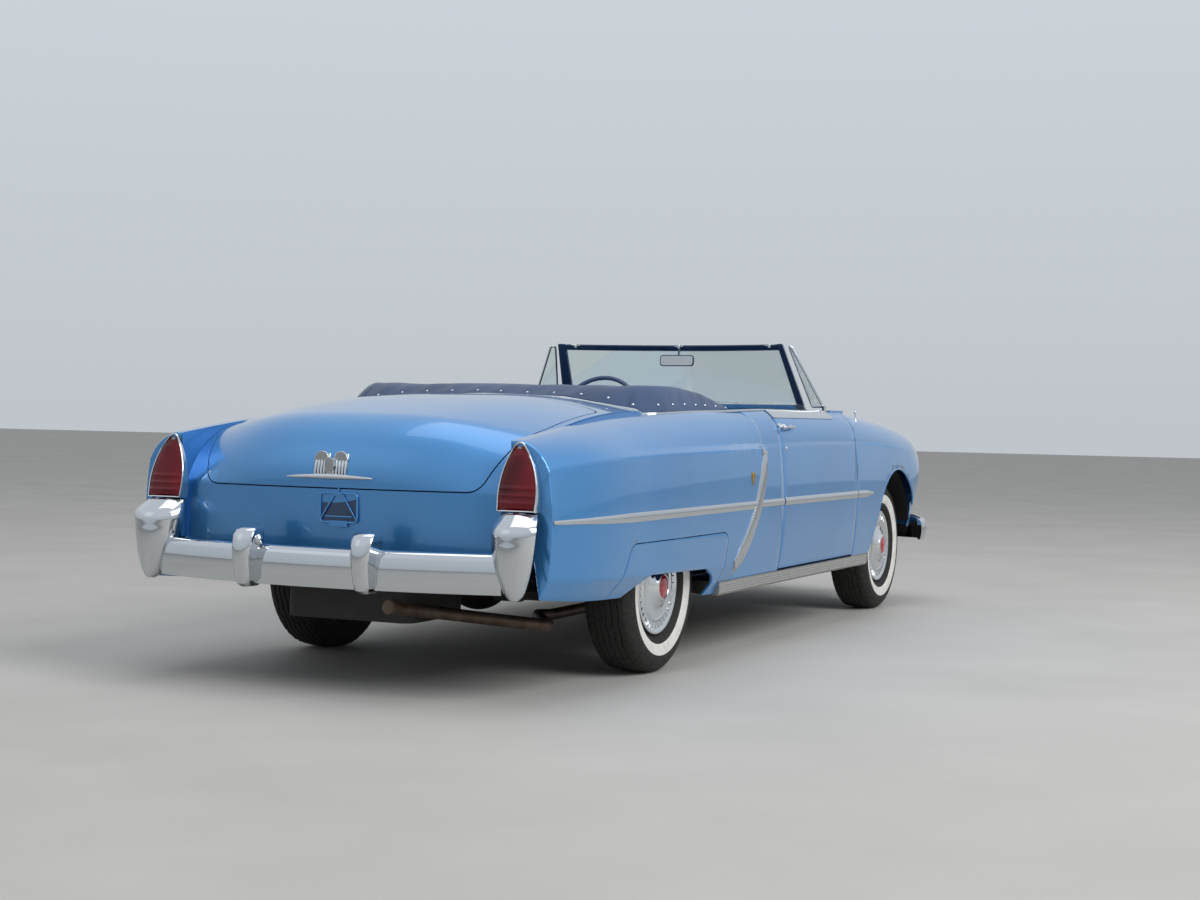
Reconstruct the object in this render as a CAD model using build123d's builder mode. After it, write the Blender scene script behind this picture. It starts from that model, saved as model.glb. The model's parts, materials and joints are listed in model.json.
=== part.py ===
from build123d import *
from collections import namedtuple
from math import cos, radians, sin
import os

os.makedirs("parts", exist_ok=True)

# A full-size two-door convertible of the early 1950s, nose towards -Y, +Z up, millimetres.
# The origin lies on the ground, at the middle of the overall length and width.
# The left side is +X. Left pieces are modelled, and their right twins are mirrored.

# Overall places
half_length = 2719.0
body_half_width = 984.0
front_overhang = 935.0
wheelbase = 3124.0
front_axle_y = front_overhang - half_length
rear_axle_y = front_axle_y + wheelbase
half_track = 755.0
hub_z = 355.0
panel_gap = 5.5
seat_gap = 0.3

# Wheels and tyres
tyre_radius = 355.0
tyre_width = 208.0
rim_radius = 191.0
rim_width = 150.0
rim_wall = 6.0
flange_height = 13.0
cover_radius = 199.0
hub_radius = 52.0
spindle_radius = 26.0
spindle_fit = 0.3
kingpin_x = half_track - 95.0
kingpin_radius = 22.0
drum_radius = 142.0

# Body sides: where the panels are parted along the length
nose_y = 239.0 - half_length
firewall_y = front_axle_y + 654.0
door_front_y = firewall_y + 147.0
door_length = 1139.0
door_rear_y = door_front_y + door_length
quarter_rear_y = half_length - 273.0
tail_y = quarter_rear_y + 54.0
rocker_z = 345.0
belt_z = 1090.0
fender_width = 258.0
door_inner_x = body_half_width - 154.0
fender_inner_x = body_half_width - 382.0
hood_half_width = fender_inner_x - panel_gap
deck_half_width = body_half_width - fender_width
cowl_half_width = door_inner_x - 7.0
firewall_wall = 26.0

# Wheel openings
arch_radius = 430.0
well_radius = 446.0
well_inner_x = 470.0
rear_well_inner_x = 612.0
skirt_inner_x = 925.0
wheelhouse_wall = 12.0
trunk_floor_z = 540.0

# Rear deck, trunk lid and boot
deck_front_y = rear_axle_y - 44.0
lid_front_y = rear_axle_y + 220.0
deck_rim = 32.0
lid_half_width = deck_half_width - deck_rim
lid_low_z = 762.0
lid_wall = 26.0
tail_low_z = 470.0
boot_low_z = 1010.0
boot_high_z = 1178.0

# Glass and windshield frame
glass_wall = 6.0

# Cross-sections of the body side, measured in from the widest place: the foot, the lower crease,
# the fullest place, the shoulder's edge, the shelf over it, the bend and the belt
SideRow = namedtuple(
    "SideRow",
    "y foot_in foot_z crease_in crease_z full_in full_z edge_in edge_z shelf_in shelf_z"
    " bend_in bend_z top_in top_z",
)
front_sides = [
    SideRow(nose_y, 146, 628, 138, 640, 112, 740, 122, 835, 123, 840, 146, 896, 214, 936),
    SideRow(nose_y + 180, 98, 590, 92, 600, 64, 730, 80, 846, 81, 850, 112, 924, 199, 972),
    SideRow(front_axle_y - 116, 59, rocker_z, 58, 352, 36, 660, 53, 897, 55, 903, 90, 973, 184, 1026),
    SideRow(front_axle_y + 384, 54, rocker_z, 53, 352, 30, 655, 47, 926, 49, 932, 82, 1016, 172, 1060),
    SideRow(door_front_y, 54, rocker_z, 53, 352, 27, 650, 44, 934, 46, 940, 78, 1038, 138, belt_z),
]
door_sides = [
    front_sides[-1],
    SideRow(door_front_y + 583, 54, rocker_z, 53, 352, 25, 650, 42, 936, 44, 942, 76, 1040, 134, belt_z),
    SideRow(door_rear_y, 54, rocker_z, 53, 352, 26, 650, 43, 930, 45, 936, 76, 1034, 134, belt_z),
    SideRow(door_rear_y + 704, 58, rocker_z, 56, 352, 29, 645, 46, 920, 48, 926, 82, 1018, 146, 1070),
]
quarter_sides = [
    SideRow(rear_axle_y - 910, 79, 284, 27, 402, 5, 650, 9, 916, 40, 938, 76, 1030, 142, 1082),
    SideRow(rear_axle_y - 240, 79, 300, 22, 420, 1, 650, 8, 908, 34, 934, 84, 1012, 166, 1066),
    SideRow(rear_axle_y + 360, 80, 345, 24, 434, 3, 650, 13, 898, 36, 922, 98, 984, 206, 1034),
    SideRow(quarter_rear_y - 246, 100, 364, 46, 444, 28, 650, 42, 880, 58, 900, 120, 950, 214, 984),
    SideRow(quarter_rear_y, 134, 385, 99, 452, 86, 650, 105, 852, 113, 866, 145, 912, 214, 952),
]


def side_form(rows, inner_x):
    """Body side as one solid from its inner wall out to its skin."""
    with BuildPart() as form:
        for row in rows:
            foot = (body_half_width - row.foot_in, row.foot_z)
            crease = (body_half_width - row.crease_in, row.crease_z)
            full = (body_half_width - row.full_in, row.full_z)
            edge = (body_half_width - row.edge_in, row.edge_z)
            shelf = (body_half_width - row.shelf_in, row.shelf_z)
            bend = (body_half_width - row.bend_in, row.bend_z)
            top = (body_half_width - row.top_in, row.top_z)
            with BuildSketch(Plane.XZ.offset(-row.y)):
                with BuildLine():
                    Polyline((inner_x, top[1]), (inner_x, foot[1]), foot, crease)
                    ThreePointArc(crease, full, edge)
                    Line(edge, shelf)
                    ThreePointArc(shelf, bend, top)
                    Line(top, (inner_x, top[1]))
                make_face()
        loft()
    return form.part


Crown = namedtuple("Crown", "x start_z crest_y crest_z round_y round_z edge_y edge_z low_y")

# Lengthwise sections of the rear deck, from the middle out: it is crowned both ways
deck_rise = 26.0
hood_rise = 14.0
deck_rows = [
    Crown(0, 1132, tail_y - 210, 1046, tail_y - 66, 962, tail_y + 4, 770, tail_y - 10),
    Crown(380, 1122, tail_y - 220, 1030, tail_y - 82, 948, tail_y - 14, 768, tail_y - 26),
    Crown(
        deck_half_width, 1070, tail_y - 350, 976, tail_y - 180, 890, tail_y - 88, 762, tail_y - 80
    ),
]
# The same for the hood and the nose under it
hood_rows = [
    Crown(0, 1130, nose_y + 360, 1092, nose_y + 40, 990, nose_y - 80, 820, nose_y - 86),
    Crown(330, 1116, nose_y + 370, 1074, nose_y + 60, 972, nose_y - 60, 812, nose_y - 66),
    Crown(hood_half_width, 1082, nose_y + 400, 1030, nose_y + 120, 940, nose_y + 2, 800, nose_y - 4),
]


def crowned_form(rows, start_y, low_z, rise, inset=0.0):
    """Deck or hood, from its inner end out to its rounded end, drawn in by an inset."""
    way = 1 if rows[0].edge_y > start_y else -1
    across = [row._replace(x=-row.x) for row in reversed(rows[1:])] + rows
    with BuildPart() as form:
        for row in across:
            start = (start_y, row.start_z - inset)
            crest = (row.crest_y - way * inset / 4, row.crest_z - inset)
            middle = ((start_y + crest[0]) / 2, (row.start_z + row.crest_z) / 2 + rise - inset)
            turn = (row.round_y - way * inset * 0.7, row.round_z - inset * 0.7)
            edge = (row.edge_y - way * inset, row.edge_z - inset / 4)
            low = (row.low_y - way * inset, low_z)
            with BuildSketch(Plane.YZ.offset(row.x)):
                with BuildLine():
                    Line((start_y, low_z), start)
                    ThreePointArc(start, middle, crest)
                    ThreePointArc(crest, turn, edge)
                    Line(edge, low)
                    Line(low, (start_y, low_z))
                make_face()
        loft()
    return form.part


def tube_run(points, radius, bend):
    """Round bar along straight runs with rounded turns."""
    with BuildPart() as bar:
        with BuildLine() as route:
            FilletPolyline(*points, radius=bend)
        with BuildSketch(Plane(origin=route.line @ 0, z_dir=route.line % 0)):
            Circle(radius)
        sweep()
    return bar.part


def dome_arc(radius, low, high):
    """Arc of a round dome whose top lies square on the turning axis, in (radius, height)."""
    ball = (radius**2 + (high - low) ** 2) / (2 * (high - low))
    half = radius / 2
    return ThreePointArc((radius, low), (half, high - ball + (ball**2 - half**2) ** 0.5), (0, high))


# Outer forms of the body sides
front_form = side_form(front_sides, fender_inner_x)
door_form = side_form(door_sides, door_inner_x)
base_form = side_form(door_sides, deck_half_width)
quarter_form = side_form(quarter_sides, deck_half_width)

# Doors: whole thickness slabs, parted from the fender, quarter and sill by the panel gap
door_low_z = rocker_z + 8
door_top_z = belt_z - 2
jamb_slant = 16.0
with BuildPart() as door_left:
    add(door_form)
    with BuildSketch(Plane.YZ):
        with Locations(((door_front_y + door_rear_y) / 2, (door_low_z + door_top_z) / 2)):
            Rectangle(door_rear_y - door_front_y - 0.02, door_top_z - door_low_z)
    extrude(amount=1100, mode=Mode.INTERSECT)
    with BuildSketch(Plane.XY):
        with BuildLine():
            Polyline(
                (960, door_rear_y), (door_inner_x - 1, door_rear_y - jamb_slant),
                (door_inner_x - 1, door_rear_y + 10), (960, door_rear_y + 10), close=True,
            )
        make_face()
    extrude(amount=1300, mode=Mode.SUBTRACT)

# Front fenders: open wheel arch, and cut up short ahead of the wheel for the bumper's end
with BuildPart() as fender_left:
    add(front_form)
    with BuildSketch(Plane.XZ.offset(-(door_front_y - panel_gap))):
        Rectangle(3000, 3000)
    extrude(amount=-400, mode=Mode.SUBTRACT)
    with BuildSketch(Plane.XZ.offset(-(firewall_y - seat_gap))):
        Rectangle(2 * cowl_half_width + 2 * seat_gap, 3000)
    extrude(amount=-400, mode=Mode.SUBTRACT)
    with BuildSketch(Plane.YZ.offset(well_inner_x)):
        with Locations((front_axle_y, hub_z)):
            Circle(arch_radius)
        with BuildLine():
            Polyline(
                (front_axle_y - 800, 0),
                (front_axle_y + arch_radius + 110, 0),
                (front_axle_y + arch_radius + 90, rocker_z),
                (front_axle_y + arch_radius * 0.94, hub_z + 180),
                (front_axle_y, hub_z + 200),
                (front_axle_y - arch_radius * 0.86, hub_z + 215),
                (front_axle_y - 800, hub_z + 285),
                close=True,
            )
        make_face()
    extrude(amount=600, mode=Mode.SUBTRACT)

# Quarter panels: a plain panel behind the door, and a bulge that starts at the air scoop
def wheelhouse_block(grow):
    """Box of the inner wheelhouse in the trunk and beside the rear seat."""
    with BuildPart() as block:
        with BuildSketch(Plane.YZ):
            with BuildLine():
                wide = well_radius + wheelhouse_wall + grow
                top = hub_z + well_radius + wheelhouse_wall + grow
                Polyline(
                    (rear_axle_y - wide, trunk_floor_z - 60 - grow),
                    (rear_axle_y - wide, top - 150),
                    (rear_axle_y - wide + 150, top),
                    (rear_axle_y + wide - 150, top),
                    (rear_axle_y + wide, top - 150),
                    (rear_axle_y + wide, trunk_floor_z - 60 - grow),
                    close=True,
                )
            make_face()
        extrude(amount=deck_half_width + 1, both=True)
        with BuildSketch(Plane.YZ):
            Rectangle(6000, 4000)
        extrude(amount=rear_well_inner_x - wheelhouse_wall - grow, both=True, mode=Mode.SUBTRACT)
    return block.part


scoop_top = (rear_axle_y - 910.0, 905.0)
scoop_mid = (rear_axle_y - 835.0, 690.0)
scoop_foot = (rear_axle_y - 592.0, 403.0)
skirt_gap = 3.0
skirt_corner = 60.0
skirt_outline = [
    (rear_axle_y - 412.0, 270.0),
    (rear_axle_y - 435.0, 560.0),
    (rear_axle_y + 565.0, 560.0),
    (rear_axle_y + 680.0, 270.0),
]
# The open part below the skirt, under the crease
wheel_gap_outline = [
    (rear_axle_y - 300.0, 260.0),
    (rear_axle_y - 300.0, 284.0),
    (rear_axle_y - 365.0, 350.0),
    (rear_axle_y - 330.0, 378.0),
    (rear_axle_y - 230.0, 417.0),
    (rear_axle_y + 345.0, 430.0),
    (rear_axle_y + 430.0, 398.0),
    (rear_axle_y + 520.0, 350.0),
    (rear_axle_y + 520.0, 260.0),
]
sill_rear_y = rear_axle_y - 440.0
with BuildPart() as quarter_left:
    add(quarter_form)
    with BuildSketch(Plane.YZ):
        with BuildLine():
            ThreePointArc(scoop_top, scoop_mid, scoop_foot)
            Polyline(
                scoop_foot, (scoop_foot[0], 200), (scoop_top[0] - 230, 200),
                (scoop_top[0] - 230, 1200), (scoop_top[0] - 10, 1200), scoop_top,
            )
        make_face()
    extrude(amount=1200, mode=Mode.SUBTRACT)
    with BuildSketch(Plane.YZ):
        with Locations((sill_rear_y + seat_gap - 200, rocker_z - 100)):
            Rectangle(400, 200)
    extrude(amount=1200, mode=Mode.SUBTRACT)
    add(base_form)
    with BuildSketch(Plane.XY):
        with BuildLine():
            jamb_y = door_rear_y + panel_gap
            Polyline(
                (1000, jamb_y + jamb_slant * 40 / 130), (door_inner_x, jamb_y - jamb_slant),
                (700, jamb_y - jamb_slant), (700, -2000), (1000, -2000), close=True,
            )
        make_face()
    extrude(amount=1500, mode=Mode.SUBTRACT)
    with BuildSketch(Plane.XY.offset(640)):
        with BuildLine():
            pad_y = door_rear_y - jamb_slant + seat_gap
            Polyline(
                (door_inner_x + 2, pad_y + seat_gap), (door_inner_x + 16, pad_y + 2.05),
                (door_inner_x + 16, pad_y + 12), (door_inner_x + 2, pad_y + 12), close=True,
            )
        make_face()
    extrude(amount=24)
    add(wheelhouse_block(0).solids().sort_by(Axis.X)[-1])
    with BuildSketch(Plane.YZ.offset(rear_well_inner_x)):
        with Locations((rear_axle_y, hub_z)):
            Circle(well_radius)
        with Locations((rear_axle_y, 0)):
            Rectangle(2 * well_radius, 2 * hub_z)
    extrude(amount=skirt_inner_x - rear_well_inner_x, mode=Mode.SUBTRACT)
    with BuildSketch(Plane.YZ.offset(rear_well_inner_x)):
        with BuildLine():
            Polyline(*skirt_outline, close=True)
        make_face()
        fillet(vertices().group_by(Axis.Y)[-1], skirt_corner)
        offset(amount=skirt_gap)
    extrude(amount=500, mode=Mode.SUBTRACT)

# Fender skirts: removable covers over the rear wheels
with BuildPart() as skirt_left:
    add(quarter_form)
    with BuildSketch(Plane.YZ):
        with BuildLine():
            Polyline(*skirt_outline, close=True)
        make_face()
        fillet(vertices().group_by(Axis.Y)[-1], skirt_corner)
    extrude(amount=1100, mode=Mode.INTERSECT)
    with BuildSketch(Plane.XZ.offset(-rear_axle_y - 800)):
        with BuildLine():
            Polyline(
                (deck_half_width - 10, 700), (skirt_inner_x, 700), (skirt_inner_x, 440),
                (skirt_inner_x - 47, 284), (skirt_inner_x - 47, 200), (deck_half_width - 10, 200),
                close=True,
            )
        make_face()
    extrude(amount=1600, mode=Mode.SUBTRACT)
    with BuildSketch(Plane.YZ):
        with BuildLine():
            Polyline(*wheel_gap_outline, close=True)
        make_face()
    extrude(amount=1100, mode=Mode.SUBTRACT)
    with BuildSketch(Plane.XY.offset(skirt_outline[1][1] - 1)):
        with Locations(
            (skirt_inner_x + 13, rear_axle_y - 190), (skirt_inner_x + 13, rear_axle_y + 310)
        ):
            Rectangle(16, 40)
    extrude(amount=skirt_gap + 1 - seat_gap)

# Sills between the wheels, below the doors
sill_height = 62.0
sill_front_y = front_axle_y + arch_radius + 92
with BuildPart() as sill_left:
    with BuildSketch(Plane.XZ.offset(-sill_front_y)):
        with BuildLine():
            Polyline(
                (door_inner_x - 120, rocker_z - sill_height + 14),
                (body_half_width - 104, rocker_z - sill_height),
                (body_half_width - 56, rocker_z - sill_height + 22),
                (body_half_width - 52, rocker_z - seat_gap),
                (door_inner_x - 120, rocker_z - seat_gap),
                close=True,
            )
        make_face()
    extrude(amount=-(sill_rear_y - sill_front_y))

# Rear deck: closed trunk shell with the lid's opening cut out of it
deck_outer = crowned_form(deck_rows, deck_front_y, tail_low_z, deck_rise)
deck_inner = crowned_form(deck_rows, deck_front_y + lid_wall, tail_low_z, deck_rise, lid_wall)


lid_low_half = lid_half_width - 97.0
lid_corner = 75.0


def lid_outline(grow):
    """Lid seen from above and from behind, as one block that cuts the deck."""
    with BuildPart() as block:
        with BuildSketch(Plane.XY.offset(lid_low_z - 200)):
            with BuildLine():
                Polyline(
                    (-lid_half_width, half_length),
                    (-lid_half_width, lid_front_y + 90),
                    (-lid_half_width + 90, lid_front_y + 30),
                    (-260, lid_front_y),
                    (260, lid_front_y),
                    (lid_half_width - 90, lid_front_y + 30),
                    (lid_half_width, lid_front_y + 90),
                    (lid_half_width, half_length),
                    close=True,
                )
            make_face()
            if grow:
                offset(amount=grow)
        extrude(amount=700)
        with BuildSketch(Plane.XZ.offset(-lid_front_y + 50)):
            with BuildLine():
                Polyline(
                    (lid_low_half, lid_low_z),
                    (lid_half_width + 8, lid_low_z + 250),
                    (lid_half_width + 8, 1400),
                    (-lid_half_width - 8, 1400),
                    (-lid_half_width - 8, lid_low_z + 250),
                    (-lid_low_half, lid_low_z),
                    close=True,
                )
            make_face()
            fillet(vertices().group_by(Axis.Y)[0], lid_corner)
            if grow:
                offset(amount=grow)
        extrude(amount=-1400, mode=Mode.INTERSECT)
    return block.part


lid_block = lid_outline(0)
lid_hole_block = lid_outline(panel_gap)

with BuildPart() as trunk_lid:
    add(deck_outer)
    add(deck_inner, mode=Mode.SUBTRACT)
    add(lid_block, mode=Mode.INTERSECT)

with BuildPart() as rear_deck:
    add(deck_outer)
    add(deck_inner, mode=Mode.SUBTRACT)
    add(lid_hole_block, mode=Mode.SUBTRACT)
    add(wheelhouse_block(seat_gap), mode=Mode.SUBTRACT)
    with BuildSketch(Plane.XY.offset(trunk_floor_z + seat_gap)):
        with Locations((0, (deck_front_y - 10 + quarter_rear_y - 60) / 2)):
            Rectangle(1600, quarter_rear_y - 60 - deck_front_y + 10)
    extrude(amount=-300, mode=Mode.SUBTRACT)
    with BuildSketch(Plane.XY.offset(lid_low_z - panel_gap - 2)):
        with Locations((-240, tail_y - 20), (240, tail_y - 20)):
            Rectangle(30, 12)
    extrude(amount=panel_gap + 2 - seat_gap)

# Floor, tunnel and trunk floor as one pressed pan
floor_z = 318.0
floor_wall = 10.0
kick_y = rear_axle_y - 330.0
tunnel_half = 170.0
tunnel_height = 190.0
floor_half = door_inner_x - 120 - seat_gap
floor_rear_half = rear_well_inner_x - wheelhouse_wall - seat_gap
trunk_low = trunk_floor_z - floor_wall
with BuildPart() as floor_pan:
    with BuildSketch(Plane.YZ.offset(-floor_half)):
        with BuildLine():
            Polyline(
                (firewall_y, floor_z + 240),
                (firewall_y + 200, floor_z),
                (kick_y - 160, floor_z),
                (kick_y, trunk_low),
                (quarter_rear_y - 60, trunk_low),
                (quarter_rear_y - 60, trunk_floor_z),
                (kick_y - 7, trunk_floor_z),
                (kick_y - 167, floor_z + floor_wall),
                (firewall_y + 206, floor_z + floor_wall),
                (firewall_y, floor_z + 254),
                close=True,
            )
        make_face()
    extrude(amount=2 * floor_half)
    with BuildSketch(Plane.XY.offset(trunk_low - 300)):
        with Locations((0, quarter_rear_y)):
            Rectangle(3000, 2 * (quarter_rear_y - rear_axle_y + well_radius + wheelhouse_wall))
            Rectangle(
                2 * floor_rear_half,
                2 * (quarter_rear_y - rear_axle_y + well_radius + wheelhouse_wall),
                mode=Mode.SUBTRACT,
            )
    extrude(amount=400, mode=Mode.SUBTRACT)
    with BuildSketch(Plane.XZ.offset(-firewall_y)):
        with Locations((0, floor_z)):
            Rectangle(2 * tunnel_half, 2 * tunnel_height)
    extrude(amount=-(kick_y - 10 - firewall_y), mode=Mode.SUBTRACT)
    with BuildSketch(Plane.XZ.offset(-firewall_y)):
        with BuildLine():
            Polyline(
                (-tunnel_half - 2, floor_z),
                (-tunnel_half + 30, floor_z + tunnel_height),
                (tunnel_half - 30, floor_z + tunnel_height),
                (tunnel_half + 2, floor_z),
                (tunnel_half - 10, floor_z),
                (tunnel_half - 40, floor_z + tunnel_height - 10),
                (-tunnel_half + 40, floor_z + tunnel_height - 10),
                (-tunnel_half + 10, floor_z),
                close=True,
            )
        make_face()
    extrude(amount=-(kick_y - 10 - firewall_y))

# Cowl: firewall and the panel under the windshield
cowl_rear_y = firewall_y + 225.0
cowl_z = 1100.0
hood_hinge_x = 420.0
hood_hinge_z = 1098.0
hood_hinge_height = 40.0
with BuildPart() as cowl:
    with BuildSketch(Plane.YZ.offset(-cowl_half_width)):
        with BuildLine():
            Polyline(
                (firewall_y, floor_z + 254 + seat_gap),
                (firewall_y + firewall_wall, floor_z + 254 + seat_gap),
                (firewall_y + firewall_wall, cowl_z - 40),
                (cowl_rear_y, cowl_z - 46),
                (cowl_rear_y, cowl_z),
                (firewall_y, cowl_z),
                close=True,
            )
        make_face()
    extrude(amount=2 * cowl_half_width)
    with BuildSketch(Plane.XY.offset(hood_hinge_z - hood_hinge_height)):
        with Locations((-hood_hinge_x, firewall_y - 2), (hood_hinge_x, firewall_y - 2)):
            Rectangle(40, 2 * (panel_gap - 2 - seat_gap))
    extrude(amount=hood_hinge_height)
    for side in (-1, 1):
        with BuildSketch(Plane.XY.offset(rocker_z + 2)):
            with Locations((side * (cowl_half_width + floor_half + seat_gap) / 2, firewall_y + 66)):
                Rectangle(cowl_half_width - floor_half - seat_gap, 132)
        extrude(amount=cowl_z - rocker_z - 40)

mouth_half = fender_inner_x - 42.0
mouth_z = 720.0
mouth_height = 150.0
# Hood and the nose panel below its front edge, cut from one crowned form
hood_rear_y = firewall_y - panel_gap
hood_low_z = 905.0
nose_low_z = 600.0
hood_wall = 22.0
hood_outer = crowned_form(hood_rows, hood_rear_y, nose_low_z, hood_rise)
hood_inner = crowned_form(hood_rows, hood_rear_y + 40, nose_low_z, hood_rise, hood_wall)
nose_rows = hood_rows[:-1] + [hood_rows[-1]._replace(x=fender_inner_x - seat_gap)]
nose_outer = crowned_form(nose_rows, hood_rear_y, nose_low_z, hood_rise)
nose_inner = crowned_form(nose_rows, hood_rear_y + 40, nose_low_z, hood_rise, hood_wall)
with BuildPart() as hood:
    add(hood_outer)
    add(hood_inner, mode=Mode.SUBTRACT)
    with BuildSketch(Plane.XY.offset(hood_low_z)):
        Rectangle(4000, 8000)
    extrude(amount=1000, mode=Mode.INTERSECT)
with BuildPart() as nose_panel:
    add(nose_outer)
    add(nose_inner, mode=Mode.SUBTRACT)
    with BuildSketch(Plane.XY.offset(hood_low_z - panel_gap)):
        Rectangle(4000, 8000)
    extrude(amount=1000, mode=Mode.SUBTRACT)
    with BuildSketch(Plane.XZ.offset(-nose_y - 180)):
        with Locations((0, mouth_z)):
            RectangleRounded(2 * mouth_half, mouth_height, 40)
    extrude(amount=600, mode=Mode.SUBTRACT)
    with BuildSketch(Plane.XY.offset(hood_low_z - panel_gap - 1)):
        with Locations((-300, nose_y + 2), (300, nose_y + 2)):
            Rectangle(30, 22)
    extrude(amount=panel_gap + 1 - seat_gap)

# Grille: a floating bar with teeth in the mouth below the nose panel
grille_bar = 50.0
bar_wall = 22.0
bar_end = mouth_half - seat_gap - bar_wall / 2
bar_end_y = nose_y - 4.0
bar_mid_y = nose_y - 76.0
tooth_count = 7
tooth_spacing = 128.0
tooth_width = 36.0
tooth_height = 112.0
tooth_depth = 46.0
with BuildPart() as grille:
    with BuildSketch(Plane.XY.offset(mouth_z - grille_bar / 2)):
        with BuildLine():
            ThreePointArc((-bar_end, bar_end_y), (0, bar_mid_y), (bar_end, bar_end_y))
            offset(amount=bar_wall / 2, side=Side.BOTH)
        make_face()
    extrude(amount=grille_bar)
    for i in range(tooth_count):
        tooth_x = (i - (tooth_count - 1) / 2) * tooth_spacing
        tooth_y = bar_mid_y + (bar_end_y - bar_mid_y) * (tooth_x / bar_end) ** 2
        with BuildSketch(Plane.YZ.offset(tooth_x - tooth_width / 2)):
            with BuildLine():
                Line((tooth_y + 12, mouth_z - tooth_height / 2), (tooth_y + 12, mouth_z + tooth_height / 2))
                ThreePointArc(
                    (tooth_y + 12, mouth_z + tooth_height / 2), (tooth_y - tooth_depth + 12, mouth_z),
                    (tooth_y + 12, mouth_z - tooth_height / 2),
                )
            make_face()
        extrude(amount=tooth_width)

# Lamps
headlamp_x = body_half_width - 242.0
headlamp_z = 836.0
headlamp_radius = 102.0
with BuildPart() as headlamp_left:
    with BuildSketch(Plane.XY):
        with BuildLine():
            Polyline(
                (0, 0), (headlamp_radius, 0), (headlamp_radius, 22), (headlamp_radius - 12, 40),
            )
            dome_arc(headlamp_radius - 12, 40, 64)
            Line((0, 64), (0, 0))
        make_face()
    revolve(axis=Axis.Y)
headlamp_place = Pos(headlamp_x, nose_y - seat_gap, headlamp_z) * Rot(0, 0, 180)
with BuildPart() as headlamps:
    add(headlamp_place * headlamp_left.part)
    mirror(about=Plane.YZ)

# Tail lamps: pointed arches with a face that leans forward and three ribs low on it
lamp_low_z = 698.0
lamp_x = body_half_width - 209.0
lamp_tip = (body_half_width - 218.0, 950.0)
lamp_half = 77.0
lamp_rim = 11.0
lamp_low_depth = 58.0
lamp_high_depth = 14.0
rib_count = 3
rib_spacing = 26.0
rib_height = 11.0
rib_proud = 6.0


def lamp_outline(inset):
    """Pointed arch of a tail lamp, drawn in by an inset."""
    with BuildSketch(Plane.XZ.offset(-(quarter_rear_y + seat_gap))) as outline:
        with BuildLine():
            Line((lamp_x - lamp_half, lamp_low_z), (lamp_x + lamp_half, lamp_low_z))
            ThreePointArc((lamp_x + lamp_half, lamp_low_z), (lamp_x + 52, 855), lamp_tip)
            ThreePointArc(lamp_tip, (lamp_x - 62, 850), (lamp_x - lamp_half, lamp_low_z))
        make_face()
        if inset:
            offset(amount=-inset)
    return outline.sketch


def lamp_block(inset, back, ribs):
    """Lamp or bezel, cut to its leaning face; a lamp's face has ribs."""
    low = (quarter_rear_y + lamp_low_depth - back, lamp_low_z)
    high = (quarter_rear_y + lamp_high_depth - back, lamp_tip[1])
    lean = (high[0] - low[0]) / (high[1] - low[1])
    face = [low]
    for i in range(ribs):
        rib_z = lamp_low_z + 30 + i * rib_spacing
        rib_y = low[0] + lean * (rib_z - lamp_low_z)
        face += [
            (rib_y, rib_z), (rib_y + rib_proud, rib_z + rib_height * 0.3),
            (rib_y + rib_proud, rib_z + rib_height * 0.7), (rib_y + lean * rib_height, rib_z + rib_height),
        ]
    face.append(high)
    with BuildPart() as block:
        extrude(lamp_outline(inset), amount=-lamp_low_depth - 20)
        with BuildSketch(Plane.YZ):
            with BuildLine():
                Polyline(
                    (quarter_rear_y - 10, low[1]), *face, (quarter_rear_y - 10, high[1]), close=True
                )
            make_face()
        extrude(amount=body_half_width, mode=Mode.INTERSECT)
    return block.part


with BuildPart() as tail_bezels:
    add(lamp_block(0, 12, 0))
    extrude(lamp_outline(lamp_rim), amount=-lamp_low_depth, mode=Mode.SUBTRACT)
    mirror(about=Plane.YZ)
with BuildPart() as tail_lamps:
    add(lamp_block(lamp_rim + seat_gap, rib_proud, rib_count))
    mirror(about=Plane.YZ)

# Bumpers: hollow rolled blades with upright ends and guards
rail_x = 400.0
rail_front_y = 179.0 - half_length
rail_rear_y = half_length - 219.0
blade_wall = 24.0
iron_width = 50.0
iron_height = 40.0


def blade_run(points, low_z, height):
    """Rolled bumper blade along a flat curve, its outer side to the left of the way."""
    with BuildPart() as blade:
        with BuildLine(Plane.XY.offset(low_z)) as route:
            ThreePointArc(*points)
        along = route.line % 0
        with BuildSketch(
            Plane(origin=route.line @ 0, x_dir=(-along.Y, along.X, 0), z_dir=along)
        ):
            with BuildLine():
                ThreePointArc((-14, 0), (0, height * 0.4), (-4, height * 0.8))
                ThreePointArc((-4, height * 0.8), (-14, height * 0.94), (-40, height))
                Polyline(
                    (-40, height), (-40, height - blade_wall), (-4 - blade_wall, height * 0.74),
                    (-blade_wall, height * 0.4), (-14 - blade_wall, 0), (-14, 0),
                )
            make_face()
        sweep()
    return blade.part


# Upright bumper ends, measured in from the widest place and forward from the rear end:
# inner, middle and outer points at rising heights, and the top that leans forward
Shield = namedtuple("Shield", "z inner_in inner_fore mid_in mid_fore outer_in outer_fore")
shield_rows = [
    Shield(394, 216, 185, 188, 167, 162, 183),
    Shield(445, 249, 197, 194, 147, 136, 183),
    Shield(530, 286, 211, 198, 135, 116, 183),
    Shield(642, 304, 223, 200, 141, 104, 185),
]
shield_cap = Shield(688, 288, 245, 204, 197, 126, 235)
shield_wall = 20.0


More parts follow.
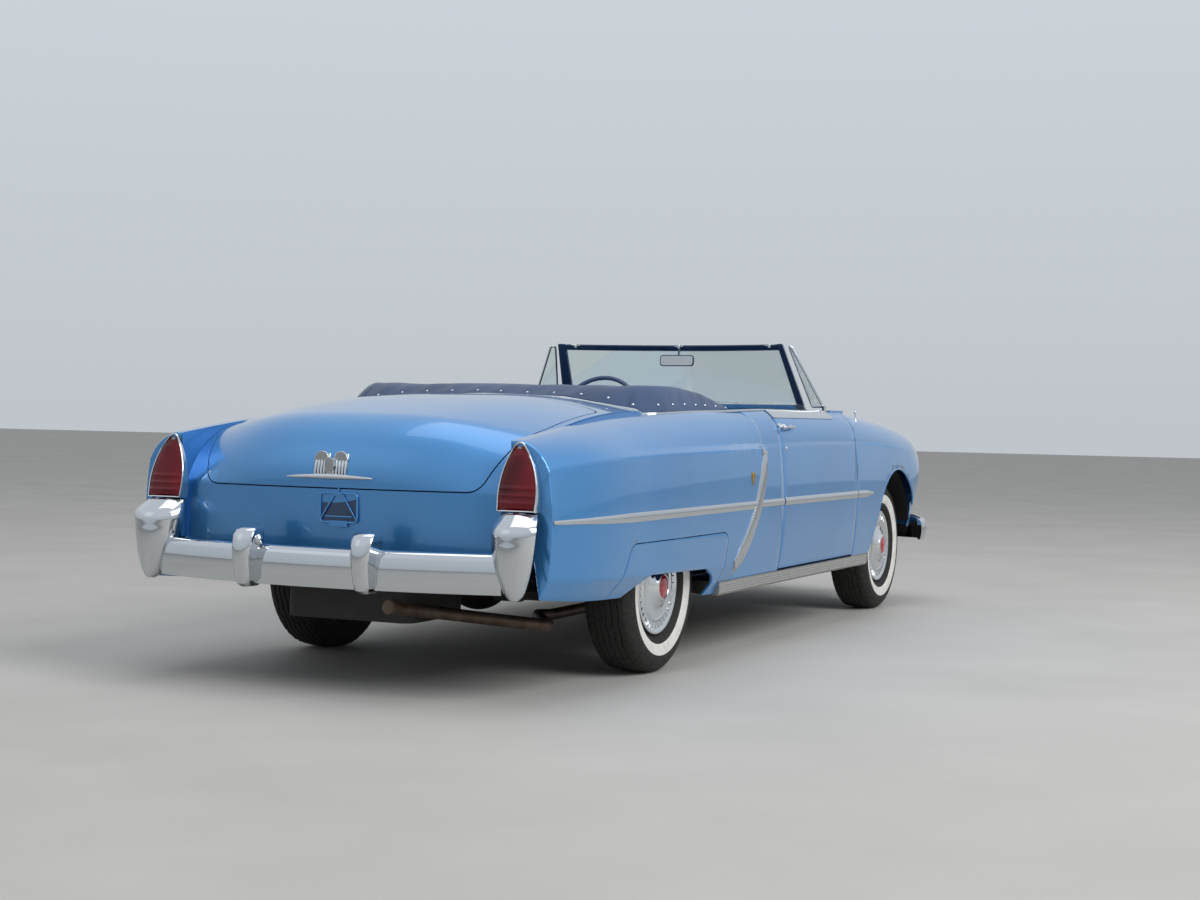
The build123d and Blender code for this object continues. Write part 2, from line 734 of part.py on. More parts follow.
def shield_section(row):
    """Crescent of a bumper end at one height."""
    inner = (body_half_width - row.inner_in, half_length - row.inner_fore)
    mid = (body_half_width - row.mid_in, half_length - row.mid_fore)
    outer = (body_half_width - row.outer_in, half_length - row.outer_fore)
    with BuildSketch(Plane.XY.offset(row.z)) as section:
        with BuildLine():
            ThreePointArc(inner, mid, outer)
            Line(outer, (outer[0] - 6, outer[1] - shield_wall))
            ThreePointArc(
                (outer[0] - 6, outer[1] - shield_wall), (mid[0], mid[1] - shield_wall),
                (inner[0] + 6, inner[1] - shield_wall),
            )
            Line((inner[0] + 6, inner[1] - shield_wall), inner)
        make_face()
    return section.sketch


with BuildPart() as bumper_end:
    for row in shield_rows:
        add(shield_section(row))
    loft()
    add(shield_section(shield_rows[-1]))
    add(shield_section(shield_cap))
    loft()

# Bumper guards, as outlines at rising heights
Guard = namedtuple("Guard", "z half reach")
guard_rows = [
    Guard(397, 29, 26), Guard(450, 35, 8), Guard(505, 38, 0), Guard(570, 44, 8), Guard(612, 42, 36),
]
guard_x = 257.0
guard_depth = 111.0


def guard_form(rows, lift):
    """Bumper guard at the rear, standing on the middle of the blade."""
    with BuildPart() as guard:
        for row in rows:
            tip = half_length - row.reach
            side_y = tip - 14
            front_y = half_length - guard_depth
            with BuildSketch(Plane.XY.offset(row.z + lift)):
                with BuildLine():
                    ThreePointArc((-row.half, side_y), (0, tip), (row.half, side_y))
                    Polyline(
                        (row.half, side_y), (row.half, front_y), (-row.half, front_y),
                        (-row.half, side_y),
                    )
                make_face()
        loft()
    return guard.part


rear_blade_low = 403.0
rear_blade_height = 146.0
rear_blade_half = body_half_width - 234.0
rear_blade_end_y = half_length - 171.0
rear_blade_mid_y = half_length - 51.0
guard_shape = guard_form(guard_rows, 0)
with BuildPart() as rear_bumper:
    add(
        blade_run(
            [
                (-rear_blade_half, rear_blade_end_y), (0, rear_blade_mid_y),
                (rear_blade_half, rear_blade_end_y),
            ],
            rear_blade_low, rear_blade_height,
        )
    )
    add(bumper_end.part)
    add(Pos(guard_x, 0, 0) * guard_shape)
    add(Pos(-guard_x, 0, 0) * guard_shape)
    mirror(bumper_end.part, about=Plane.YZ)
    for side in (-1, 1):
        with BuildSketch(Plane.XY.offset(rear_blade_low + 2)):
            with Locations((side * rail_x, (rail_rear_y + seat_gap + half_length - 84) / 2)):
                Rectangle(iron_width, half_length - 84 - rail_rear_y - seat_gap)
        extrude(amount=iron_height)

front_blade_low = 360.0
front_blade_height = 150.0
front_blade_half = body_half_width - 184.0
front_guard_x = 330.0
bullet_z = 470.0
bullet_radius = 58.0
bullet_length = 150.0
with BuildPart() as bullet:
    with BuildSketch(Plane.XY):
        with BuildLine():
            Line((0, 0), (bullet_radius, 0))
            ThreePointArc(
                (bullet_radius, 0), (bullet_radius * 0.8, bullet_length * 0.62), (14, bullet_length - 8)
            )
            dome_arc(14, bullet_length - 8, bullet_length)
            Line((0, bullet_length), (0, 0))
        make_face()
    revolve(axis=Axis.Y)
with BuildPart() as front_bumper:
    add(
        blade_run(
            [
                (front_blade_half, 159 - half_length), (0, 79 - half_length),
                (-front_blade_half, 159 - half_length),
            ],
            front_blade_low, front_blade_height,
        )
    )
    for side in (-1, 1):
        with BuildSketch(Plane.XY.offset(front_blade_low)):
            with BuildLine():
                ThreePointArc(
                    (side * (front_blade_half - 20), 168 - half_length),
                    (side * (front_blade_half + 105), 232 - half_length),
                    (side * (front_blade_half + 135), 389 - half_length),
                )
            trace(line_width=blade_wall)
        extrude(amount=front_blade_height * 0.8)
        with BuildSketch(Plane.XY.offset(front_blade_low + 6)):
            with Locations((side * rail_x, (rail_front_y - seat_gap + 109 - half_length) / 2)):
                Rectangle(iron_width, rail_front_y - seat_gap - 109 + half_length)
        extrude(amount=iron_height + 14)
        add(
            Pos(side * front_guard_x, bullet_length - half_length, bullet_z)
            * Rot(0, 0, 180) * bullet.part
        )

# Windshield: raked frame with a curved pane
pane_base_half = cowl_half_width - 123.0
pane_top_half = cowl_half_width - 183.0
pane_base = [
    (-pane_base_half, cowl_rear_y), (0.0, cowl_rear_y - 200), (pane_base_half, cowl_rear_y)
]
pane_top = [
    (-pane_top_half, cowl_rear_y + 215), (0.0, cowl_rear_y + 55),
    (pane_top_half, cowl_rear_y + 215),
]
pane_border = 28.0
pane_low_half = pane_base_half - 52.0
pane_high_half = pane_top_half - 36.0
pane_low_z = cowl_z + seat_gap
pane_high_z = 1436.0


def raked_sheet(wall, low_z, high_z):
    """Curved upright sheet between the cowl's line and the header's line."""
    with BuildPart() as sheet:
        for points, z in ((pane_base, low_z), (pane_top, high_z)):
            with BuildSketch(Plane.XY.offset(z)):
                with BuildLine():
                    ThreePointArc(*points)
                    back = [(x, y + wall) for x, y in points]
                    ThreePointArc(*back)
                    Line(points[0], back[0])
                    Line(points[2], back[2])
                make_face()
        loft()
    return sheet.part


with BuildPart() as windshield_frame:
    add(raked_sheet(28, pane_low_z, pane_high_z))
    with BuildSketch(Plane.XZ.offset(-cowl_rear_y - 400)):
        with BuildLine():
            Polyline(
                (-pane_low_half, pane_low_z + pane_border),
                (pane_low_half, pane_low_z + pane_border),
                (pane_high_half, pane_high_z - pane_border),
                (-pane_high_half, pane_high_z - pane_border), close=True,
            )
        make_face()
    extrude(amount=800, mode=Mode.SUBTRACT)
with BuildPart() as windshield_glass:
    add(raked_sheet(glass_wall, pane_low_z, pane_high_z))
    with BuildSketch(Plane.XZ.offset(-cowl_rear_y - 400)):
        with BuildLine():
            Polyline(
                (-pane_low_half + seat_gap, pane_low_z + pane_border + seat_gap),
                (pane_low_half - seat_gap, pane_low_z + pane_border + seat_gap),
                (pane_high_half - seat_gap, pane_high_z - pane_border - seat_gap),
                (-pane_high_half + seat_gap, pane_high_z - pane_border - seat_gap), close=True,
            )
        make_face()
    extrude(amount=800, mode=Mode.INTERSECT)

# Vent windows, which stand on the doors and swing with them
vent_foot_front = (door_inner_x - 92.0, door_front_y + 97.0, 1112.0)
vent_foot_rear = (door_inner_x + 6.0, door_front_y + 213.0, 1112.0)
vent_top = (pane_top_half + 36.0, door_front_y + 299.0, 1428.0)
with BuildPart() as vent_window_left:
    vent_plane = Plane(
        origin=vent_foot_front,
        x_dir=Vector(*vent_foot_rear) - Vector(*vent_foot_front),
        z_dir=(Vector(*vent_foot_rear) - Vector(*vent_foot_front)).cross(
            Vector(*vent_top) - Vector(*vent_foot_front)
        ),
    )
    corners = [
        vent_plane.to_local_coords(Vector(*place))
        for place in (vent_foot_front, vent_foot_rear, vent_top)
    ]
    with BuildSketch(vent_plane):
        with BuildLine():
            Polyline(
                (0, 0),
                (corners[1].X, 0),
                (corners[2].X + 14, corners[2].Y),
                (corners[2].X - 14, corners[2].Y),
                close=True,
            )
        make_face()
    extrude(amount=7, both=True)
    with BuildSketch(Plane.XY.offset(door_top_z + seat_gap)):
        with Locations((door_inner_x + 8, vent_foot_rear[1] - 5)):
            Rectangle(16, 40)
    extrude(amount=vent_foot_rear[2] - door_top_z + 12)

# Seats, dashboard, steering
front_seat_y = door_front_y + 643.0
rear_seat_y = rear_axle_y - 740.0
front_seat_half = floor_half - 29.7
rear_seat_half = floor_rear_half - 9.7
with BuildPart() as tunnel_room:
    with BuildSketch(Plane.XZ.offset(-front_seat_y + 200)):
        with Locations((0, floor_z)):
            Rectangle(2 * tunnel_half + 8, 2 * tunnel_height + 8)
    extrude(amount=-1700)
tunnel_space = tunnel_room.part
with BuildPart() as front_seat:
    with BuildSketch(Plane.YZ.offset(-front_seat_half)):
        with BuildLine():
            Polyline(
                (front_seat_y, floor_z + floor_wall + seat_gap), (front_seat_y, 590),
                (front_seat_y + 480, 570),
                (front_seat_y + 600, 1030), (front_seat_y + 700, 1030),
                (front_seat_y + 640, floor_z + floor_wall + seat_gap), close=True,
            )
        make_face()
        fillet(vertices(), 38)
    extrude(amount=2 * front_seat_half)
    add(tunnel_space, mode=Mode.SUBTRACT)
with BuildPart() as rear_seat:
    with BuildSketch(Plane.YZ.offset(-rear_seat_half)):
        with BuildLine():
            Polyline(
                (rear_seat_y, floor_z + floor_wall + seat_gap), (rear_seat_y, 595),
                (rear_seat_y + 480, 575), (rear_seat_y + 570, 960), (rear_seat_y + 685, 960),
                (rear_seat_y + 685, 546), (rear_seat_y + 360, 546),
                (rear_seat_y + 200, floor_z + floor_wall + seat_gap), close=True,
            )
        make_face()
        fillet(vertices(), 24)
    extrude(amount=2 * rear_seat_half)
    add(tunnel_space, mode=Mode.SUBTRACT)

wheel_centre = (345.0, door_front_y + 423.0, 1050.0)
column_slope = 24.0
rim_ring = 222.0
rim_bar = 12.0
column_radius = 24.0
column_plane = Plane(
    origin=wheel_centre,
    x_dir=(1, 0, 0),
    z_dir=(0, cos(radians(column_slope)), sin(radians(column_slope))),
)
with BuildPart() as steering_wheel:
    with BuildSketch(Plane.XZ):
        with Locations((rim_ring, 0)):
            Circle(rim_bar)
    revolve(axis=Axis.Z)
    with BuildSketch(Plane.XY.offset(-40)):
        Circle(46)
    extrude(amount=44)
    with BuildSketch(Plane.XY.offset(-24)):
        with PolarLocations(rim_ring / 2, 3, start_angle=90):
            Rectangle(rim_ring - 4, 26)
    extrude(amount=14)
steering_wheel_placed = column_plane.location * steering_wheel.part
with BuildPart() as steering_wheel:
    add(steering_wheel_placed)
column_length = 560.0
with BuildPart() as steering_column:
    with BuildSketch(column_plane.offset(-40 - seat_gap)):
        Circle(column_radius)
    extrude(amount=-(column_length - 40))
    with BuildSketch(Plane.XZ.offset(-(firewall_y + firewall_wall + seat_gap))):
        Rectangle(3000, 3000)
    extrude(amount=400, mode=Mode.SUBTRACT)
dash_rear_y = cowl_rear_y + 145.0
with BuildPart() as dashboard:
    with BuildSketch(Plane.YZ.offset(-cowl_half_width + 3)):
        with BuildLine():
            Polyline(
                (cowl_rear_y + seat_gap, cowl_z), (cowl_rear_y + seat_gap, cowl_z - 46),
                (dash_rear_y - 40, cowl_z - 60), (dash_rear_y - 30, 880), (dash_rear_y - 4, 870),
                (dash_rear_y, cowl_z - 60),
                (dash_rear_y - 40, cowl_z - 6), close=True,
            )
        make_face()
    extrude(amount=2 * cowl_half_width - 6)
    with BuildSketch(column_plane.offset(-40)):
        Circle(column_radius + seat_gap)
    extrude(amount=-column_length, mode=Mode.SUBTRACT)

# Cover over the folded top: a U round the rear seat that falls towards its front ends
boot_half = deck_half_width - seat_gap
boot_front_y = rear_axle_y - 900.0
boot_rear_y = deck_front_y - 6.0
boot_inner_half = 540.0
with BuildPart() as top_boot:
    with BuildSketch(Plane.XY.offset(boot_low_z)):
        with BuildLine():
            Polyline(
                (-boot_half, boot_front_y), (-boot_inner_half - 60, boot_front_y),
                (-boot_inner_half, boot_front_y + 470), (boot_inner_half, boot_front_y + 470),
                (boot_inner_half + 60, boot_front_y), (boot_half, boot_front_y),
                (boot_half, boot_rear_y - 90), (600, boot_rear_y), (-600, boot_rear_y),
                (-boot_half, boot_rear_y - 90), close=True,
            )
        make_face()
        fillet(vertices(), 40)
    extrude(amount=boot_high_z - boot_low_z)
    with BuildSketch(Plane.YZ.offset(-boot_half - 5)):
        with BuildLine():
            low = boot_low_z - 5
            front = boot_front_y - 5
            rear = boot_rear_y + 5
            Line((front, low), (front, boot_low_z + 74))
            ThreePointArc(
                (front, boot_low_z + 74), (boot_front_y + 420, boot_low_z + 142),
                (boot_rear_y - 120, boot_high_z),
            )
            ThreePointArc(
                (boot_rear_y - 120, boot_high_z), (boot_rear_y - 36, boot_high_z - 12),
                (rear, boot_high_z - 46),
            )
            Polyline((rear, boot_high_z - 46), (rear, low), (front, low))
        make_face()
    extrude(amount=2 * boot_half + 10, mode=Mode.INTERSECT)
    with BuildSketch(Plane.XZ.offset(-boot_rear_y - 5)):
        with BuildLine():
            side = boot_half + 5
            slope = boot_half - 110
            Polyline((side, boot_low_z + 92), (side, low), (-side, low), (-side, boot_low_z + 92))
            ThreePointArc(
                (-side, boot_low_z + 92), (-boot_half + 30, boot_low_z + 134),
                (-slope, boot_low_z + 154),
            )
            ThreePointArc((-slope, boot_low_z + 154), (0, boot_high_z + 1), (slope, boot_low_z + 154))
            ThreePointArc(
                (slope, boot_low_z + 154), (boot_half - 30, boot_low_z + 134),
                (side, boot_low_z + 92),
            )
        make_face()
    extrude(amount=boot_rear_y - boot_front_y + 10, mode=Mode.INTERSECT)

# Wheels
with BuildPart() as tyre:
    with BuildSketch(Plane.XY):
        with BuildLine():
            half = tyre_width / 2
            bead = rim_width / 2 - 9
            seat = rim_radius + spindle_fit
            lip = rim_radius + flange_height + 1
            tread = half - 26
            shoulder = tyre_radius - 8
            Line((-bead, seat), (bead, seat))
            for side in (-1, 1):
                Line((side * bead, seat), (side * bead, lip))
                ThreePointArc((side * bead, lip), (side * (half - 8), 236), (side * half, 272))
                ThreePointArc(
                    (side * half, 272), (side * (half - 6), 322), (side * tread, shoulder)
                )
            ThreePointArc((tread, shoulder), (0, tyre_radius), (-tread, shoulder))
        make_face()
    revolve(axis=Axis.X)
with BuildPart() as wheel_upright:
    with BuildSketch(Plane.XY):
        with BuildLine():
            bore = spindle_radius + spindle_fit
            face = rim_width / 2
            Polyline(
                (bore, 6), (bore, -70), (hub_radius, -70), (drum_radius, -66), (drum_radius, -20),
                (150, -14), (172, -2), (rim_radius - rim_wall - 8, -50),
                (rim_radius - rim_wall, -face), (rim_radius + flange_height, -face),
                (rim_radius + flange_height, -face + 4), (rim_radius, -face + 4),
                (rim_radius, face - 4), (cover_radius, face - 4), (cover_radius, face + 8),
                (150, face + 2), (100, face + 5), (60, face + 24),
            )
            dome_arc(60, face + 24, face + 42)
            Polyline((0, face + 42), (0, 6), (bore, 6))
        make_face()
    revolve(axis=Axis.Y)
wheel_turned = Rot(0, 0, -90) * wheel_upright.part
with BuildPart() as wheel:
    add(wheel_turned)
wheel_places = {
    "front_left": (half_track, front_axle_y, 0),
    "front_right": (-half_track, front_axle_y, 180),
    "rear_left": (half_track, rear_axle_y, 0),
    "rear_right": (-half_track, rear_axle_y, 180),
}

# Front suspension and knuckles
upright_low = 276.0
upright_high = 432.0
with BuildPart() as knuckle_left:
    with BuildSketch(Plane.XY.offset(upright_low)):
        with Locations((kingpin_x, front_axle_y)):
            Circle(kingpin_radius)
    extrude(amount=upright_high - upright_low)
    with BuildSketch(Plane.YZ.offset(kingpin_x)):
        with Locations((front_axle_y, hub_z)):
            Circle(spindle_radius)
    extrude(amount=half_track + 5.5 - kingpin_x)
with BuildPart() as front_suspension:
    with BuildSketch(Plane.XY.offset(258)):
        with Locations((0, front_axle_y)):
            Rectangle(700, 150)
    extrude(amount=96)
    with BuildSketch(Plane.XY.offset(350)):
        with Locations((0, front_axle_y)):
            Rectangle(200, 150)
    extrude(amount=50 - seat_gap)
    for low, thick in ((upright_low - 20 - seat_gap, 20), (upright_high + seat_gap, 18)):
        with BuildSketch(Plane.XY.offset(low)):
            with BuildLine():
                Polyline(
                    (340, front_axle_y - 120), (640, front_axle_y - 26),
                    (kingpin_x + 18, front_axle_y - 20), (kingpin_x + 18, front_axle_y + 20),
                    (640, front_axle_y + 26), (340, front_axle_y + 120), close=True,
                )
            make_face()
        extrude(amount=thick)
    with BuildSketch(Plane.XY.offset(354)):
        with Locations((320, front_axle_y)):
            Rectangle(60, 240)
    extrude(amount=upright_high + seat_gap + 18 - 354)
    mirror(about=Plane.YZ)

# Rear axle with its leaf springs and driveshaft
spring_x = 500.0
gearbox_rear_y = firewall_y + 490.0
with BuildPart() as rear_axle:
    with BuildSketch(Plane.YZ):
        with Locations((rear_axle_y, hub_z)):
            Circle(44)
    extrude(amount=half_track - 80, both=True)
    with BuildSketch(Plane.YZ):
        with Locations((rear_axle_y, hub_z)):
            Circle(spindle_radius)
    extrude(amount=half_track + 5.5, both=True)
    with Locations((0, rear_axle_y, hub_z)):
        Sphere(146)
    with BuildSketch(Plane.XZ.offset(-rear_axle_y)):
        with Locations((0, hub_z)):
            Circle(38)
    extrude(amount=rear_axle_y - gearbox_rear_y - seat_gap)
    for side in (-1, 1):
        with BuildSketch(Plane.YZ.offset(side * spring_x - 30)):
            with BuildLine():
                spring_front_y = rear_axle_y - 560
                spring_rear_y = rear_axle_y + 620
                ThreePointArc((spring_front_y, 250), (rear_axle_y, 276), (spring_rear_y, 330))
                Line((spring_rear_y, 330), (spring_rear_y, 362))
                ThreePointArc((spring_rear_y, 362), (rear_axle_y, 314), (spring_front_y, 282))
                Line((spring_front_y, 282), (spring_front_y, 250))
            make_face()
        extrude(amount=60)

# Ladder frame
rail_width = 70.0
with BuildPart() as chassis_frame:
    with BuildSketch(Plane.YZ.offset(rail_x - rail_width / 2)):
        with BuildLine():
            Polyline(
                (rail_front_y, 360), (rail_front_y, 426), (front_axle_y + 304, 426),
                (front_axle_y + 544, floor_z - seat_gap), (rear_axle_y - 460, floor_z - seat_gap),
                (rear_axle_y - 280, 500), (rear_axle_y + 300, 500), (rear_axle_y + 560, 455),
                (rail_rear_y, 455), (rail_rear_y, 400), (rear_axle_y + 560, 400),
                (rear_axle_y + 280, 410), (rear_axle_y - 230, 410), (rear_axle_y - 440, 206),
                (front_axle_y + 484, 206), (front_axle_y + 244, 356), close=True,
            )
        make_face()
    extrude(amount=rail_width)
    mirror(about=Plane.YZ)
    for y, z in (
        (rail_front_y + 60, 362), (firewall_y + 130, 212), (firewall_y + 1030, 212),
        (rear_axle_y - 620, 212), (rear_axle_y + 420, 412), (rail_rear_y - 80, 400),
    ):
        with BuildSketch(Plane.XZ.offset(-y)):
            with Locations((0, z + 30)):
                Rectangle(2 * rail_x, 46)
        extrude(amount=50)
    with BuildSketch(Plane.XY.offset(240)):
        with Locations((0, firewall_y + 105)):
            Rectangle(80, 50)
    extrude(amount=325 - 240 - seat_gap)
    for y, low, high in (
        (spring_front_y - seat_gap - 40, 236, 300), (spring_rear_y + seat_gap, 326, 455)
    ):
        for side in (-1, 1):
            with BuildSketch(Plane.XY.offset(low)):
                with Locations((side * (spring_x - 15), y + 20)):
                    Rectangle(110, 40)
            extrude(amount=high - low)

# Engine with its gearbox, radiator, fuel tank and exhaust
with BuildPart() as engine_block:
    with BuildSketch(Plane.XZ.offset(-front_axle_y + 346)):
        with BuildLine():
            Polyline(
                (-120, 400), (120, 400), (170, 560), (290, 760), (200, 860), (-200, 860),
                (-290, 760), (-170, 560), close=True,
            )
        make_face()
    extrude(amount=-720)
    with BuildSketch(Plane.XZ.offset(-front_axle_y - 372)):
        with Locations((0, 430)):
            Circle(128)
    extrude(amount=-280)
    with BuildSketch(Plane.XZ.offset(-gearbox_rear_y)):
        with Locations((0, 400)):
            RectangleRounded(200, 150, 40)
    extrude(amount=gearbox_rear_y - front_axle_y - 644)
with BuildPart() as radiator:
    with BuildSketch(Plane.XZ.offset(-front_axle_y + 466)):
        with Locations((0, (426 + seat_gap + 930) / 2)):
            Rectangle(870, 930 - 426 - seat_gap)
    extrude(amount=70)
tank_length = 420.0
with BuildPart() as fuel_tank:
    with BuildSketch(Plane.XY.offset(258)):
        with Locations((0, rail_rear_y - 335)):
            RectangleRounded(560, tank_length, 50)
    extrude(amount=407 - seat_gap - 258)
with BuildPart() as exhaust:
    add(
        tube_run(
            [
                (-230, firewall_y - 370, 330), (-230, firewall_y - 20, 180),
                (-230, rear_axle_y - 240, 180), (-230, rear_axle_y - 110, 190),
                (-620, rear_axle_y + 560, 230), (-332, half_length - 419, 300),
                (-332, half_length - 99, 345),
            ],
            24, 60,
        )
    )
    for y in (firewall_y + 105, firewall_y + 1005, rear_axle_y - 645):
        with BuildSketch(Plane.XY.offset(180)):
            with Locations((-230, y)):
                Rectangle(30, 30)
        extrude(amount=219 - seat_gap - 180)

left_pieces = {
    "door": door_left,
    "front_fender": fender_left,
    "quarter": quarter_left,
    "vent_window": vent_window_left,
    "knuckle": knuckle_left,
}
centre_pieces = {
    "chassis_frame": chassis_frame,
    "floor_pan": floor_pan,
    "cowl": cowl,
    "dashboard": dashboard,
    "windshield_frame": windshield_frame,
    "windshield_glass": windshield_glass,
    "hood": hood,
    "nose_panel": nose_panel,
    "grille": grille,
    "front_bumper": front_bumper,
    "rear_bumper": rear_bumper,
    "headlamps": headlamps,
    "tail_lamps": tail_lamps,
    "tail_bezels": tail_bezels,
    "trunk_lid": trunk_lid,
    "rear_deck": rear_deck,
    "front_seat": front_seat,
    "rear_seat": rear_seat,
    "steering_wheel": steering_wheel,
    "steering_column": steering_column,
    "top_boot": top_boot,
    "front_suspension": front_suspension,
    "rear_axle": rear_axle,
    "engine_block": engine_block,
    "radiator": radiator,
    "fuel_tank": fuel_tank,
    "exhaust": exhaust,
}
with BuildPart() as skirts:
    add(skirt_left.part)
    mirror(about=Plane.YZ)
with BuildPart() as sills:
    add(sill_left.part)
    mirror(about=Plane.YZ)
centre_pieces["skirts"] = skirts
centre_pieces["sills"] = sills

for name, piece in centre_pieces.items():
    piece.part.label = name
    export_step(piece.part, f"parts/{name}.step")
for name, left in left_pieces.items():
    with BuildPart() as right:
        mirror(left.part, about=Plane.YZ)
    for side, piece in (("left", left), ("right", right)):
        piece.part.label = f"{name}_{side}"
        export_step(piece.part, f"parts/{name}_{side}.step")
for place, (x, y, turn) in wheel_places.items():
    for name, pattern in (("tyre", tyre), ("wheel", wheel)):
        with BuildPart() as piece:
            add(Pos(x, y, hub_z) * Rot(0, 0, turn) * pattern.part)
        piece.part.label = f"{name}_{place}"
        export_step(piece.part, f"parts/{name}_{place}.step")
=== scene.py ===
import bpy
import bmesh
import json
import math
import numpy as np
from mathutils import Matrix, Vector


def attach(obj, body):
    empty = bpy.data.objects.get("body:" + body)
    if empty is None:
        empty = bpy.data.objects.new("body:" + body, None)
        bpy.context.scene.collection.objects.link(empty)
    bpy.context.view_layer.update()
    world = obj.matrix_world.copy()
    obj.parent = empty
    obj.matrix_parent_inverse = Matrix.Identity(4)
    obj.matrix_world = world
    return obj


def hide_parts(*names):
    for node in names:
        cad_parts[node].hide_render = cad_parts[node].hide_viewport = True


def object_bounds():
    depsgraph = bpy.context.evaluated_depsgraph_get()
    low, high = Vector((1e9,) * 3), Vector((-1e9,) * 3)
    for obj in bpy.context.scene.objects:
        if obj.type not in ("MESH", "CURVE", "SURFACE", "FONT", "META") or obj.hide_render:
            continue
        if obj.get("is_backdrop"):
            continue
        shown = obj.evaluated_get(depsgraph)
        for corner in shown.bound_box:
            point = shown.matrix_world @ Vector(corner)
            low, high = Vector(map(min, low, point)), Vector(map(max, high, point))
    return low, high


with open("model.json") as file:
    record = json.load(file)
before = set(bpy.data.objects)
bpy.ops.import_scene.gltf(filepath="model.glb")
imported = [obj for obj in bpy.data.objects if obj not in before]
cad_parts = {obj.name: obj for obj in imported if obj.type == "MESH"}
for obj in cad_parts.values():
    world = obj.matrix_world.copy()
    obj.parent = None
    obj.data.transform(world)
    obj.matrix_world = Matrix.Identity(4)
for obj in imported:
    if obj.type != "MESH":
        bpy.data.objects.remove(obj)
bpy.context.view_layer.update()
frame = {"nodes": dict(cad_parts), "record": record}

mm = 0.001   # every table below is in millimetres

# ---- small tools: colours, nodes, meshes


def hexColour(text):
    channels = [int(text[i:i + 2], 16) / 255 for i in (1, 3, 5)]
    return tuple(c / 12.92 if c <= 0.04045 else ((c + 0.055) / 1.055) ** 2.4 for c in channels) + (1,)


def addNode(material, kind, values=None, links=None, settings=None):
    tree = material.node_tree
    node = tree.nodes.new(kind)
    for key, value in (settings or {}).items():
        setattr(node, key, value)
    for key, value in (values or {}).items():
        node.inputs[key].default_value = value
    for key, source in (links or {}).items():
        tree.links.new(source, node.inputs[key])
    return node


def newMaterial(name, colour, metallic=0.0, roughness=0.5, **more):
    material = bpy.data.materials.new(name)
    material.use_nodes = True
    shader = material.node_tree.nodes["Principled BSDF"]
    shader.inputs["Base Color"].default_value = hexColour(colour)
    shader.inputs["Metallic"].default_value = metallic
    shader.inputs["Roughness"].default_value = roughness
    for key, value in more.items():
        shader.inputs[key.replace("_", " ")].default_value = value
    return material, shader


def link(material, source, socket):
    material.node_tree.links.new(source, socket)


def coords(material):
    return addNode(material, "ShaderNodeTexCoord").outputs["Object"]


def noise(material, size, detail=4.0, stretch=(1, 1, 1)):
    # size is the pattern's real size in millimetres
    place = addNode(material, "ShaderNodeMapping", {"Scale": stretch}, {"Vector": coords(material)})
    return addNode(material, "ShaderNodeTexNoise", {"Scale": 1 / (size * mm), "Detail": detail},
                   {"Vector": place.outputs[0]})


def tint(material, shader, fac, colours, stops=(0.3, 0.7)):
    ramp = addNode(material, "ShaderNodeValToRGB", links={"Fac": fac})
    for element, colour, stop in zip(ramp.color_ramp.elements, colours, stops):
        element.color = hexColour(colour)
        element.position = stop
    link(material, ramp.outputs[0], shader.inputs["Base Color"])
    return ramp


def bumpy(material, shader, height, strength, depth):
    bump = addNode(material, "ShaderNodeBump", {"Strength": strength, "Distance": depth * mm},
                   {"Height": height})
    link(material, bump.outputs[0], shader.inputs["Normal"])
    return bump


def roughen(material, shader, fac, low, high):
    spread = addNode(material, "ShaderNodeMapRange", {"To Min": low, "To Max": high}, {"Value": fac})
    link(material, spread.outputs[0], shader.inputs["Roughness"])


def addObject(name, data):
    made = bpy.data.objects.new(name, data)
    bpy.context.scene.collection.objects.link(made)
    return made


def meshObject(name, points, faces):
    mesh = bpy.data.meshes.new(name)
    mesh.from_pydata([tuple(v * mm for v in point) for point in points], [], faces)
    mesh.validate()
    piece = addObject(name, mesh)
    tidy = bmesh.new()
    tidy.from_mesh(mesh)
    bmesh.ops.remove_doubles(tidy, verts=tidy.verts, dist=1e-6)
    bmesh.ops.recalc_face_normals(tidy, faces=tidy.faces)
    tidy.to_mesh(mesh)
    tidy.free()
    return piece


def bake(piece):
    graph = bpy.context.evaluated_depsgraph_get()
    mesh = bpy.data.meshes.new_from_object(piece.evaluated_get(graph), depsgraph=graph)
    piece.modifiers.clear()
    piece.data = mesh
    return piece


def modify(piece, kind, **settings):
    modifier = piece.modifiers.new(kind.lower(), kind)
    for key, value in settings.items():
        setattr(modifier, key, value)
    return modifier


def smooth(piece, sharp=60):
    piece.data.shade_smooth()
    piece.data.set_sharp_from_angle(angle=math.radians(sharp))
    modify(piece, "WEIGHTED_NORMAL", keep_sharp=True)
    return bake(piece)


def soften(piece, width, segments=2):
    # rounded edges wherever faces meet at more than 35 degrees
    modify(piece, "BEVEL", width=width * mm, segments=segments, limit_method="ANGLE",
           angle_limit=math.radians(35), use_clamp_overlap=True, miter_outer="MITER_ARC")
    return smooth(bake(piece))


def carve(piece, cutter, operation="DIFFERENCE", solver="EXACT"):
    modify(piece, "BOOLEAN", object=cutter, operation=operation, solver=solver)
    bake(piece)
    bpy.data.objects.remove(cutter)
    return piece


def join(name, pieces):
    graph = bpy.context.evaluated_depsgraph_get()
    whole = bmesh.new()
    for piece in pieces:
        whole.from_mesh(piece.evaluated_get(graph).to_mesh())
        bpy.data.objects.remove(piece)
    mesh = bpy.data.meshes.new(name)
    whole.to_mesh(mesh)
    whole.free()
    return addObject(name, mesh)


def mirrored(piece, name):
    twin = addObject(name, piece.data.copy())
    twin.data.transform(Matrix.Scale(-1, 4, (1, 0, 0)))
    twin.data.flip_normals()
    return twin


def dress(piece, material, body, slotName, *nodes):
    piece.data.materials.clear()
    piece.data.materials.append(material)
    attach(piece, body)
    if nodes:
        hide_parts(*nodes)
    return piece


